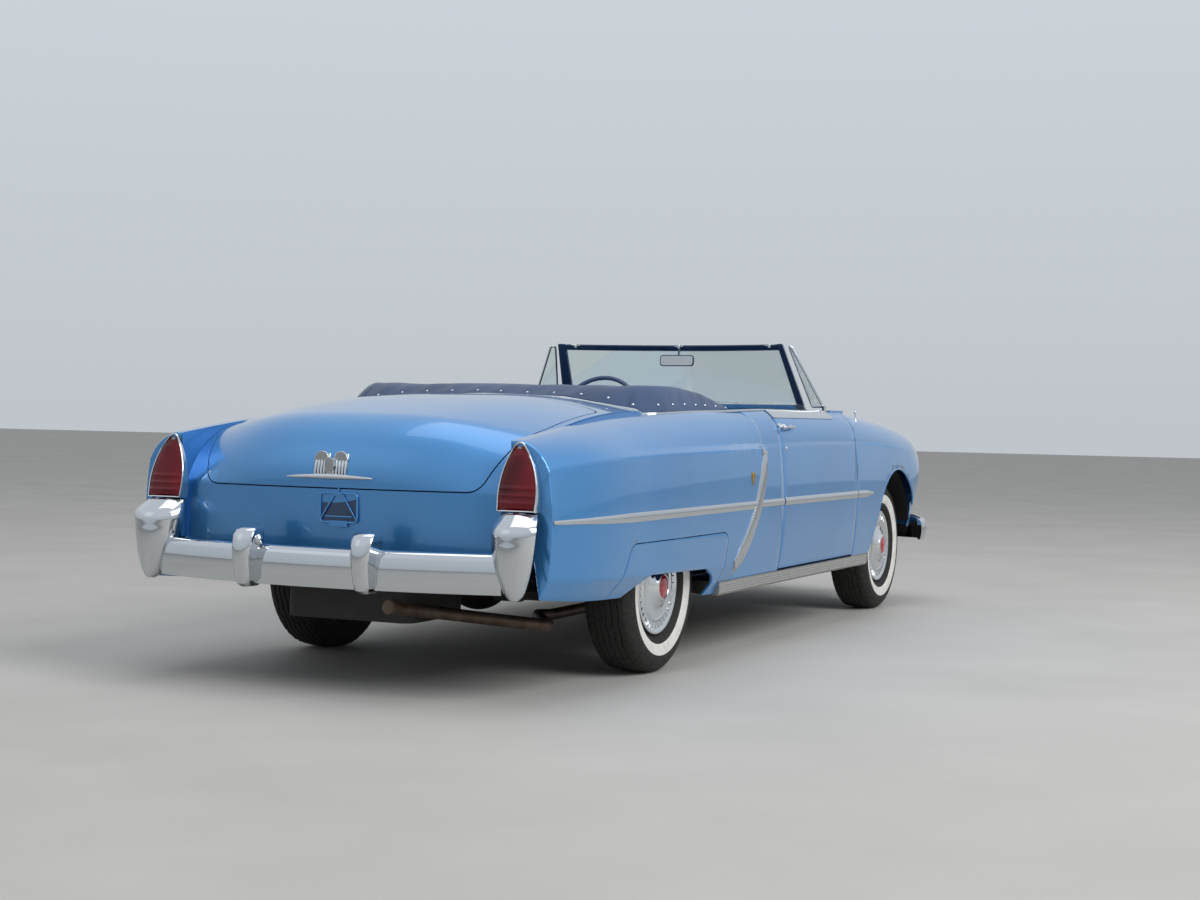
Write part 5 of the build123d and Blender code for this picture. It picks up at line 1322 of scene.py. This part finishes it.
for k in range(steps):
    weave = 3.2 * (1 - abs((k % 12) - 6) / 3)
    loop = []
    for i, (along, radius) in enumerate(outline):
        depth = 0
        if firstCrown - 2 <= i < firstCrown + len(crown) + 2:
            lane = (along + weave + 78) % 26
            if lane < 4.4 and abs(along) < 72:
                depth = wheelLook["groove"]
            elif abs(along) > 66 and (k % 6) < 2:
                depth = 4.0
            elif (k % 12) == 5 and 11 < lane < 19:
                depth = 3.0
        loop.append((along, *onCircle(radius - depth, 2 * math.pi * k / steps)))
    loops.append(loop)
tyre = smooth(lofted("tyre", loops, True), 38)
band = arcThrough(*bead, evenShares(24)) + arcThrough(*shoulder, evenShares(24)[1:])
band = [(-a, r) for a, r in band if wheelLook["whiteIn"] <= r <= wheelLook["whiteOut"]]
# the band stands proud by a millimetre and runs out to nothing at its edges
bandProfile = [(a + min(1, 4 * min(i, len(band) - 1 - i) / len(band)), r) for i, (a, r) in enumerate(band)]
bandProfile += [(a - 1.5, r) for a, r in band[::-1]]
whiteBand = smooth(turned("whiteBand", bandProfile, 96, closed=True), 60)
rim = smooth(turned("rim", rimProfile, closed=True), 30)
cover = [smooth(turned("cover", coverProfile, 96, closed=True), 50)]
for k in range(wheelLook["vanes"]):
    angle = 2 * math.pi * k / wheelLook["vanes"]
    vane = [(75, *onCircle(158, angle)), (77.6, *onCircle(175, angle))]
    cover.append(swept("vane", vane, circle(3.4, 8, 0.7), (1, 0, 0)))
cover = join("cover", cover)
badge = smooth(turned("badge", badgeProfile, 48), 50)
wheelParts = {"tyre": (tyre, tyreRubber, "tyre", "tyre_{}"),
              "whiteBand": (whiteBand, whiteRubber, "tyre", None),
              "wheelRim": (rim, chassisBlack, "chassis_black", "wheel_{}"),
              "wheelCover": (cover, coverSteel, "wheel_chrome", None),
              "coverCentre": (badge, redEnamel, "wheel_chrome", None)}
for end, y in (("front", hubY), ("rear", rearHubY)):
    for side, sign in (("left", 1), ("right", -1)):
        move = Matrix.Translation((sign * wheelLook["track"] * mm, y * mm, hubZ * mm))
        move = move @ Matrix.Rotation(0 if sign > 0 else math.pi, 4, "Z")
        place = end + "_" + side
        for base, (model, material, slotName, node) in wheelParts.items():
            one = addObject(base + end.title() + side.title(), model.data.copy())
            one.data.transform(move)
            dress(one, material, "wheel_" + place, slotName, *([node.format(place)] if node else []))
for model, *rest in wheelParts.values():
    bpy.data.objects.remove(model)
print("wheels made")

# ---- windshield: chrome sill and pillars, dark blue header with three pins, laminated pane

paneLook = {"low": 1100.3, "high": 1436, "border": 28, "base": [(-700, -905), (0, -1105), (700, -905)],
            "top": [(-640, -690), (0, -850), (640, -690)]}


def panePoint(u, v, back=0.0):
    (ax, ay), (bx, by) = arcThrough(*paneLook["base"], [u])[0], arcThrough(*paneLook["top"], [u])[0]
    height = paneLook["low"] + (paneLook["high"] - paneLook["low"]) * v
    return (ax + (bx - ax) * v, ay + (by - ay) * v + back, height)


def paneBar(name, places, bevel=5):
    # a bar whose four corners are given as u, v and back at each place along it
    loops = [[panePoint(*corner) for corner in corners] for corners in places]
    return soften(lofted(name, loops), bevel, segments=3)


def paneRail(name, start, end, box, bevel=5):
    # a bar across the pane, its section given as pairs of v and back
    return paneBar(name, [[(u, v, back) for v, back in box] for u in spread(start, end, 0.03)], bevel)


edge = paneLook["border"] / (paneLook["high"] - paneLook["low"])
pieces = [paneRail("sill", 0, 1, rectangle(0.0, 2, edge, 28))]
darkPieces = []
for flip in (0, 1):
    bright, dark = [], []
    for v in spread(0.0, 1.0, 0.06):
        wide = 0.040 - 0.010 * v
        u0, u1 = (0, wide) if not flip else (1, 1 - wide)
        bright.append([(u0, v, -1), (u1, v, 3), (u1, v, 11), (u0, v, 14)])
        dark.append([(u0, v, 13), (u1, v, 10), (u1, v, 26), (u0, v, 28)])
    pieces.append(paneBar("pillar", bright, 4))
    darkPieces.append(paneBar("pillarTrim", dark[1:], 5))
pieces.append(paneRail("topTrim", 0, 1, rectangle(1 - edge, -1, 1.0, 8), 2))
dress(join("windshieldTrim", pieces), chrome, "root", "chrome", "windshield_frame")
header = paneRail("header", 0.03, 0.97, rectangle(1 - edge - 0.01, 9, 0.985, 28), 4)
dress(join("headerRail", [header] + darkPieces), dashPaint, "root", "dash_paint")
pinProfile = [(1418, 0), (1418, 9), (1427, 9), (1429, 5), (1434, 5), (1435.8, 3), (1435.8, 0)]
pins = []
for u in (0.07, 0.5, 0.93):
    x, y, z = panePoint(u, 1.0, 17)
    pins.append(turned("pin", pinProfile, 20, "z", (x, y, 0)))
    foot = rounded(rectangle(x - 26, y - 9, x + 26, y + 9), 8)
    pins.append(soften(prism("foot", foot, "z", 1426, 1431), 1.2))
dress(join("headerPins", [smooth(p) for p in pins]), chrome, "root", "chrome")
grid = [[panePoint(u, v, 12) for v in np.linspace(0.06, 0.94, 14)] for u in np.linspace(0.02, 0.98, 60)]
pane = smooth(shell("pane", grid, 6))
dress(pane, glass, "root", "glass", "windshield_glass").name = "windshieldPane"

# mirror under the header, with its bracket, and two wipers on the cowl
mirrorLook = {"place": (0, -812, 1352), "half": (98, 30), "face": (92, 25)}
cx, cy, cz = mirrorLook["place"]


def mirrorLine(half, grow, radius):
    wide, tall = half[0] * grow, half[1] * grow
    return rounded(rectangle(cx - wide, cz - tall, cx + wide, cz + tall), radius)


loops = [[(x, cy + along, z) for x, z in mirrorLine(mirrorLook["half"], grow, 20 * grow)]
         for along, grow in ((-14, 0.72), (-9, 0.93), (0, 1.0), (6, 1.0), (8, 0.97))]
housing = soften(lofted("housing", loops), 1.0)
stalk = smoothPath([(0, cy - 8, cz + 10), (0, cy - 22, cz + 34), (0, cy - 28, cz + 62)], 10)
stalk = smooth(swept("stalk", stalk, circle(6, 10)))
dress(join("rearMirror", [housing, stalk]), dashPaint, "root", "wheel_rim_plastic")
mirrorFace = prism("mirrorFace", mirrorLine(mirrorLook["face"], 1, 17), "y", cy + 7, cy + 9.5)
dress(soften(mirrorFace, 0.8), chrome, "root", "chrome")
wipers = []
for side in (1, -1):
    x, y = side * 330, -1062
    wipers.append(turned("pivot", [(0, 0), (0, 13), (10, 12), (16, 8), (18, 0)], 20, "z", (x, y, 1098)))
    heel, toe = panePoint(0.5 + side * 0.04, 0.13, -9), panePoint(0.5 + side * 0.26, 0.10, -9)
    middle = tuple((a + b) / 2 for a, b in zip(heel, toe))
    wipers.append(swept("arm", [(x, y, 1112), (middle[0], middle[1] - 4, middle[2])], circle(4, 8, 0.6)))
    blade = [panePoint(0.5 + side * (0.04 + 0.22 * t), 0.13 - 0.03 * t, -7) for t in np.linspace(0, 1, 12)]
    wipers.append(swept("blade", blade, circle(4.5, 8, 0.7)))
dress(join("wipers", [smooth(w) for w in wipers]), coverSteel, "root", "chrome")

# vent windows: chrome tube round a small pane, on the door
ventLook = {"corners": ((738, -886, 1112), (836, -770, 1112), (676, -684, 1428)), "inset": 6, "glass": 9}
front, rear, top = (Vector(corner) for corner in ventLook["corners"])
alongFoot = (rear - front).normalized()
upward = (top - front).cross(alongFoot).cross(alongFoot).normalized() * -1
facing = alongFoot.cross(upward).normalized()
corners = [front, rear, top + alongFoot * 14, top - alongFoot * 14]
centre = sum(corners, Vector()) / 4
loop = rounded([((c - front).dot(alongFoot), (c - front).dot(upward)) for c in corners], 12, 4)
ring = [front + alongFoot * a + upward * b for a, b in loop]
tube = [p + (centre - p).normalized() * ventLook["inset"] for p in ring]
ventRim = swept("ventRim", tube + tube[:2], rounded(rectangle(-5, -6, 5, 6), 3, 3), tuple(facing), False)
post = swept("post", [rear + Vector((2, -5, -20)), rear + Vector((0, -5, 10))],
             rounded(rectangle(-8, -14, 8, 14), 4, 3), (0, 1, 0))
bothSides(join("ventRim", [smooth(ventRim), smooth(post)]), "ventRim", chrome, "chrome", "door_{}")
inset = [p + (centre - p).normalized() * ventLook["glass"] for p in ring]
ventPane = lofted("ventPane", [[p + facing * 3 for p in inset], [p - facing * 3 for p in inset]])
bothSides(smooth(ventPane), "ventPane", glass, "glass", "door_{}", ("vent_window_{}",))

# ---- dashboard details on the blue face: hooded dials, a ribbed panel and knobs
# per dial: how far aside it is, the radius of its rim, face and ticks, and how many ticks
dialLook = {"x": 345, "z": 968, "dials": ((0, 66, 58, 50, 19), (-118, 40, 32, 26, 9), (118, 40, 32, 26, 9))}
dialZ = dialLook["z"]
dashParts, dialFaces, marks = [], [], []
for aside, rim, face, reach, ticks in dialLook["dials"]:
    x = dialLook["x"] + aside
    profile = [(-806, rim), (-772, rim), (-766, rim - 3), (-766, rim - 7), (-776, rim - 10),
               (-806, rim - 10)]
    dashParts.append(turned("dialRim", profile, 40, "y", (x, 0, dialZ), True))
    profile = [(-806, 0), (-806, face), (-778, face), (-777, 0)]
    dialFaces.append(turned("dialFace", profile, 40, "y", (x, 0, dialZ)))
    for k in range(ticks):
        angle = math.radians(-40 + 260 * k / (ticks - 1))
        ends = onCircle(reach, angle), onCircle(reach * 0.84, angle)
        tick = [(x + a, -776.5, dialZ + b) for a, b in ends]
        marks.append(swept("tick", tick, circle(1.0, 6), (0, 1, 0)))
    a, b = onCircle(reach * 0.85, math.radians(200))
    needle = [(x, -775.5, dialZ), (x + a, -775.5, dialZ + b)]
    marks.append(swept("needle", needle, circle(1.4, 6), (0, 1, 0)))
profile = [(-806, 0), (-806, 7), (-776, 7), (-774, 15), (-764, 16), (-760, 12), (-758, 0)]
for x in (-520, -420, 60, 140, 560):
    dashParts.append(turned("knob", profile, 20, "y", (x, 0, 930)))
for z in spread(905, 1005, 14):
    dashParts.append(swept("slat", [(-150, -790, z), (20, -790, z)], circle(4, 8)))
dashParts.append(swept("dashStrip", [(-815, -797, 1028), (815, -797, 1028)], circle(7, 10, 0.7)))
dress(join("dashTrim", [smooth(d, 50) for d in dashParts]), chrome, "root", "chrome")
dress(join("dialFaces", [smooth(f, 50) for f in dialFaces]), blackPaint, "root", "radiator_black")
dress(join("dialMarks", marks), whiteRubber, "root", "chrome")

# ---- steering wheel: hard rubber rim with finger grips, three spokes, chrome horn ring
steerLook = {"centre": (345, -560, 1050), "slope": 24, "ring": 222, "bar": 12, "hornRing": 150,
             "spokes": (90, 210, 330)}
slope = math.radians(steerLook["slope"])
axisZ = Vector((0, math.cos(slope), math.sin(slope)))
axisX = Vector((1, 0, 0))
turnWheel = Matrix((axisX, axisZ.cross(axisX), axisZ)).transposed().to_4x4()
placeWheel = Matrix.Translation(Vector(steerLook["centre"]) * mm) @ turnWheel
loops = []
for k in range(144):
    grip = 1.0 - 0.07 * (k % 4 == 0)
    loop = []
    for j in range(16):
        angle = 2 * math.pi * j / 16
        bar = steerLook["bar"] * (grip if math.cos(angle) < -0.2 else 1.0)
        reach = steerLook["ring"] + bar * math.cos(angle)
        loop.append((*onCircle(reach, 2 * math.pi * k / 144), bar * math.sin(angle)))
    loops.append(loop)
pieces = [smooth(lofted("rim", loops, True))]
hub = [(-39.5, 0), (-39.5, 40), (-30, 45.5), (-12, 45), (-4, 38), (-2, 0)]
pieces.append(smooth(turned("hub", hub, 48, "z"), 50))
boss = turned("boss", [(-4, 30), (1, 30), (3.6, 24), (3.6, 0), (-6, 0)], 40, "z")
hornRing = [(*onCircle(steerLook["hornRing"], 2 * math.pi * k / 72), -6) for k in range(74)]
hornParts = [smooth(boss, 50), smooth(swept("hornRing", hornRing, circle(4.2, 10), ends=False))]
spokeSection = rounded([(-12, -5), (12, -5), (9, 4), (-9, 4)], 4, 3)
armSection = rounded([(-6, -3), (6, -3), (5, 3), (-5, 3)], 2, 2)
for degrees in steerLook["spokes"]:
    angle = math.radians(degrees)
    spoke = [(*onCircle(r, angle), z) for r, z in ((30, -20), (90, -22), (160, -17), (205, -8), (216, -4))]
    pieces.append(smooth(swept("spoke", smoothPath(spoke, 12), spokeSection)))
    arm = [(*onCircle(26, angle), -2), (*onCircle(steerLook["hornRing"], angle), -6)]
    hornParts.append(smooth(swept("hornArm", arm, armSection)))
wheelPiece = join("steeringRim", pieces)
wheelPiece.data.transform(placeWheel)
dress(wheelPiece, wheelPlastic, "steering_wheel", "wheel_rim_plastic", "steering_wheel")
hornPiece = join("hornRing", hornParts)
hornPiece.data.transform(placeWheel)
dress(hornPiece, chrome, "steering_wheel", "chrome")
print("cabin made")

# ---- seats: foam pads under vinyl, swelled by a cloth simulation, with sewn pleats

seatLook = {"voxel": 14, "pressure": 4.0, "frames": 20, "cap": 20, "pleat": 62, "pleatDepth": 7.0}


def padForm(name, outline, low, high, cornerRadii):
    # a rounded slab: its side outline (y, z) pushed along x
    return soften(prism(name, rounded(outline, cornerRadii, 5), "x", low, high), 14, segments=3)


def swell(piece):
    # the recipe: remesh evenly, blow up gently as cloth, keep each point near its start
    modify(piece, "REMESH", mode="VOXEL", voxel_size=seatLook["voxel"] * mm)
    bake(piece)
    start = np.array([v.co[:] for v in piece.data.vertices])
    cloth = modify(piece, "CLOTH")
    cloth.settings.use_pressure = True
    cloth.settings.uniform_pressure_force = seatLook["pressure"]
    cloth.settings.effector_weights.gravity = 0
    cloth.settings.quality = 4
    cloth.collision_settings.use_collision = False
    scene = bpy.context.scene
    for frameNumber in range(1, seatLook["frames"] + 1):
        scene.frame_set(frameNumber)
    bake(piece)
    scene.frame_set(1)
    now = np.array([v.co[:] for v in piece.data.vertices])
    moved = now - start
    size = np.maximum(np.linalg.norm(moved, axis=1, keepdims=True), 1e-9)
    kept = start + moved * np.minimum(1, seatLook["cap"] * mm / size)
    for vertex, place in zip(piece.data.vertices, kept):
        vertex.co = place
    modify(piece, "SMOOTH", factor=0.5, iterations=3)
    modify(piece, "SUBSURF", levels=1)
    return bake(piece)


def sew(piece, inX, facing, seam, pleatX):
    # sinks sewn channels into the face that looks along facing
    normals = np.array([v.normal[:] for v in piece.data.vertices])
    places = np.array([v.co[:] for v in piece.data.vertices]) / mm
    towards = normals @ np.array(facing)
    show = np.clip((towards - 0.25) * 2.5, 0, 1)
    inside = np.clip((inX[1] - places[:, 0]) / 12, 0, 1) * np.clip((places[:, 0] - inX[0]) / 12, 0, 1)
    pitch = seatLook["pleat"]
    wave = np.abs(((places[:, 0] - pleatX) / pitch) % 1.0 - 0.5) * 2
    channel = (np.clip((wave - 0.62) / 0.38, 0, 1)) ** 1.5
    sink = show * inside * channel * seatLook["pleatDepth"]
    for level, axis in seam + [(edge, 0) for edge in inX]:
        line = np.abs(places[:, axis] - level)
        sink = np.maximum(sink, show * np.exp(-(line / 7) ** 2) * seatLook["pleatDepth"])
    moved = places - normals * sink[:, None]
    for vertex, place in zip(piece.data.vertices, moved * mm):
        vertex.co = place


def twoTone(piece, inX, facing, spanAxis, span):
    # pale pleated insert, darker bolsters round it
    piece.data.materials.clear()
    piece.data.materials.append(seatVinyl)
    piece.data.materials.append(seatPale)
    for polygon in piece.data.polygons:
        place = polygon.center / mm
        if (inX[0] < place.x < inX[1] and span[0] < place[spanAxis] < span[1]
                and polygon.normal.dot(Vector(facing)) > 0.25):
            polygon.material_index = 1


def upholster(piece, name, inX, facing, spanAxis, span, pleatX, nodes=()):
    swell(piece)
    sew(piece, inX, facing, [(span[0], spanAxis), (span[1], spanAxis)], pleatX)
    piece.data.shade_smooth()
    dress(piece, seatVinyl, "root", "vinyl", *nodes)
    twoTone(piece, inX, facing, spanAxis, span)
    piece.name = name
    return piece


cushion = [(-322, 452), (-322, 566), (-150, 582), (132, 560), (160, 452)]
pad = padForm("frontCushion", cushion, -664, 664, (24, 44, 60, 30, 24))
upholster(pad, "frontCushion", (-560, 560), (0, 0, 1), 1, (-262, 96), 0, ("front_seat",))
backrest = [(152, 470), (128, 560), (255, 1004), (285, 1016), (330, 1012), (346, 990), (318, 560),
            (300, 470)]
pad = padForm("backrest", backrest, 14, 664, (20, 30, 26, 20, 20, 26, 20, 20))
half = upholster(pad, "frontBackLeft", (84, 600), (0, -1, 0), 2, (590, 938), 342)
twin = mirrored(half, "frontBackRight")
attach(twin, "root")
rearCushion = [(618, 440), (618, 572), (760, 588), (1062, 566), (1080, 440)]
pad = padForm("rearCushion", rearCushion, -574, 574, (24, 44, 60, 30, 24))
upholster(pad, "rearCushion", (-490, 490), (0, 0, 1), 1, (672, 1010), 0, ("rear_seat",))
rearBack = [(1090, 575), (1172, 936), (1200, 946), (1262, 944), (1270, 920), (1268, 575)]
pad = padForm("rearBack", rearBack, -574, 574, (20, 24, 18, 18, 18, 18))
upholster(pad, "rearBack", (-490, 490), (0, -1, 0), 2, (622, 880), 0)

# seat bases: vinyl-covered risers, cut out over the floor's tunnel
tunnel = [(-176, 300), (176, 300), (150, 512), (-150, 512)]
outline = rounded([(-300, 329), (-296, 456), (280, 456), (292, 329)], 14)
base = soften(prism("seatBase", outline, "x", -640, 640), 6, segments=3)
carve(base, prism("cut", tunnel, "y", -400, 400))
dress(base, seatVinyl, "root", "vinyl").name = "frontSeatBase"
outline = rounded([(632, 331), (638, 442), (1066, 442), (1066, 556), (872, 556), (802, 331)],
                  (10, 10, 6, 6, 6, 6), 4)
base = prism("seatBase", outline, "x", -560, 560)
carve(base, prism("cut", tunnel, "y", 500, 1200), solver="FAST")
dress(soften(base, 4), seatVinyl, "root", "vinyl").name = "rearSeatBase"
print("seats made")

# ---- boot over the folded top: one coated sheet round the rear seat, pressed down by studs
bootLook = {"front": 440, "low": 1108, "rise": 66, "studs": 25, "scallop": 6.0}
# the boot's two edges, from the right front round the rear to the left front
front = bootLook["front"]
outerEdge = [(-776, front), (-775, 860), (-770, 1140), (-742, 1234), (-690, 1278), (-600, 1294), (0, 1300),
             (600, 1294), (690, 1278), (742, 1234), (770, 1140), (775, 860), (776, front)]
along = np.cumsum([0] + [math.dist(a, b) for a, b in zip(outerEdge, outerEdge[1:])])
outerShares = along / along[-1]
innerEdge = [(-606, front), (-560, 760), (-546, 880), (-500, 908), (0, 910), (500, 908), (546, 880),
             (560, 760), (606, front)]
innerShares = [0, 0.235, 0.29, 0.335, 0.5, 0.665, 0.71, 0.765, 1.0]


def edgeAt(places, shares, s):
    return [float(np.interp(s, shares, [place[k] for place in places])) for k in (0, 1)]


rows = []
steps, across = 220, 34
for i in range(steps + 1):
    s = i / steps
    ox, oy = edgeAt(outerEdge, outerShares, s)
    ix, iy = edgeAt(innerEdge, innerShares, s)
    edgeZ = beltZ(ox, oy + 6) + 4
    # the pack is thick at the back and thin at its front ends
    depthShare = max(0.0, min(1.0, (oy - front) / 620))
    crown = bootLook["low"] + bootLook["rise"] * math.sin(depthShare * math.pi / 2) ** 0.8
    stud = abs(((s * bootLook["studs"]) % 1.0) - 0.5) * 2
    row = []
    for j in range(across + 1):
        t = j / across
        x, y = ox + (ix - ox) * min(1, t * 1.12), oy + (iy - oy) * min(1, t * 1.12)
        if t < 0.30:
            rise = math.sin(t / 0.30 * math.pi / 2)
            z = edgeZ + (crown - edgeZ) * rise
            z -= bootLook["scallop"] * (stud ** 2) * math.exp(-t * 16)
        elif t < 0.8:
            z = crown - 10 * ((t - 0.30) / 0.5) ** 2
        else:
            z = crown - 10 - 96 * (1 - math.cos((t - 0.8) / 0.2 * math.pi / 2))
        # soft pulls from each stud, and slack waves in the middle
        pull = math.exp(-((t - 0.12) / 0.10) ** 2)
        z -= 3.5 * math.cos(2 * math.pi * s * bootLook["studs"] + math.pi) * pull
        z += 1.6 * math.sin(s * 61 + 3 * math.sin(s * 17)) * math.sin(math.pi * t)
        z += 1.4 * math.sin(s * 23 + t * 9) + 1.2 * math.sin(t * 21 + s * 37)
        row.append((x, y, z))
    rows.append(row)
cover = smooth(shell("topBootCover", rows, 5), 80)
outerLine = [(row[0][0], row[0][1], row[0][2] - 1) for row in rows]
hem = smooth(swept("hem", outerLine, circle(4.5, 8, 0.8)))
cover = join("topBootCover", [cover, hem])
dress(cover, bootCloth, "root", "boot_vinyl", "top_boot")
studs = []
for k in range(bootLook["studs"]):
    row = rows[int(round(k / bootLook["studs"] * steps))]
    x, y, z = row[2]
    studs.append(turned("stud", [(-2, 0), (-2, 8), (1.5, 8), (4, 5), (5, 0)], 12, "z", (x, y, z + 1)))
dress(join("bootStuds", [smooth(p) for p in studs]), coverSteel, "root", "chrome")

# folded top's own pad below the cover, so the well looks filled
outline = rounded([(-700, 700), (-620, 700), (-562, 930), (562, 930), (620, 700), (700, 700), (700, 1180),
                   (590, 1270), (-590, 1270), (-700, 1180)], 30)
pack = soften(prism("pack", outline, "z", 1014, 1086), 14, segments=3)
dress(pack, bootCloth, "root", "boot_vinyl").name = "foldedTopPad"
print("boot made")

# ---- door and side trims, carpet


def uprightPleats(x, start, end, low, high):
    return [swept("pleat", [(x, y, low), (x, y, high)], circle(5, 8, 0.7), (0, 1, 0))
            for y in spread(start, end, 58)]


panel = prism("panel", rounded(rectangle(-940, 392, 118, 1058), 26), "x", 825, 832.5)
rest = rounded([(-560, 772), (-180, 772), (-150, 806), (-170, 826), (-590, 826), (-590, 790)], 14)
rest = soften(prism("armrest", rest, "x", 772, 828), 9, segments=3)
pieces = [soften(panel, 2.0)] + uprightPleats(824.5, -880, 60, 560, 860) + [rest]
bothSides(join("doorTrim", pieces), "doorTrim", seatVinyl, "vinyl", "door_{}")
bright = [swept("strip", [(824, -930, z), (824, 108, z)], circle(5, 8, 0.6), (1, 0, 0)) for z in (548, 872)]
crankHub = [(806, 0), (806, 14), (812, 18), (826, 20), (826, 0)]
bright.append(turned("crankHub", crankHub, 24, "x", (0, -240, 960)))
crank = [(812, -240, 960), (808, -200, 936), (806, -160, 920)]
lever = [(814, -420, 960), (806, -460, 962), (808, -510, 958)]
knob = [(784, 0), (784, 9), (792, 12), (804, 9), (808, 0)]
bright.append(swept("crank", smoothPath(crank, 10), circle(6, 10, 0.7), (1, 0, 0)))
bright.append(turned("knob", knob, 20, "x", (0, -158, 918)))
bright.append(swept("lever", smoothPath(lever, 10), circle(6, 10, 0.7), (1, 0, 0)))
bothSides(join("doorFittings", [smooth(b) for b in bright]), "doorFittings", chrome, "chrome", "door_{}")
side = rounded([(172, 350), (860, 350), (1060, 560), (1060, 1040), (172, 1050)], 20)
side = carve(prism("sideTrim", side, "x", 719, 727), archCutter(rearHubY, 462, 700, 760))
pieces = [soften(side, 2.0)] + uprightPleats(718, 230, 860, 640, 900)
bothSides(join("sideTrim", pieces), "rearSideTrim", seatVinyl, "vinyl")
toe = [(-1096, 540), (-936, 344), (-905, 331), (560, 331), (620, 331), (620, 338), (-900, 338),
       (-1090, 556)]
mats = [soften(prism("mat", toe, "x", low, high), 3) for low, high in ((176, 706), (-706, -176))]
hump = [(-190, 330), (-146, 514), (146, 514), (190, 330), (176, 330), (140, 508.5), (-140, 508.5),
        (-176, 330)]
mats.append(soften(prism("hump", rounded(hump, (0, 20, 20, 0, 0, 14, 14, 0)), "y", -1096, 620), 2))
dress(join("floorCarpet", mats), carpet, "root", "vinyl")
print("trims made")

# ---- the solids that stay take their own finish
finishOf = {
    "chassis_black": chassisBlack, "cast_iron": castIron, "radiator_black": radiatorBlack,
    "exhaust_steel": exhaustSteel, "body_paint": bodyPaint, "dash_paint": dashPaint, "chrome": chrome,
    "wheel_chrome": coverSteel, "sill_steel": sillSteel, "glass": glass, "lamp_glass": lampGlass,
    "red_lens": redLens, "tyre": tyreRubber, "vinyl": seatVinyl, "boot_vinyl": bootCloth,
    "wheel_rim_plastic": wheelPlastic,
}
slotOf = {part["node"]: part["material_slot"] for part in frame["record"]["subparts"]}
for name, node in frame["nodes"].items():
    node.data.materials.clear()
    node.data.materials.append(finishOf[slotOf[name]])

low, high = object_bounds()
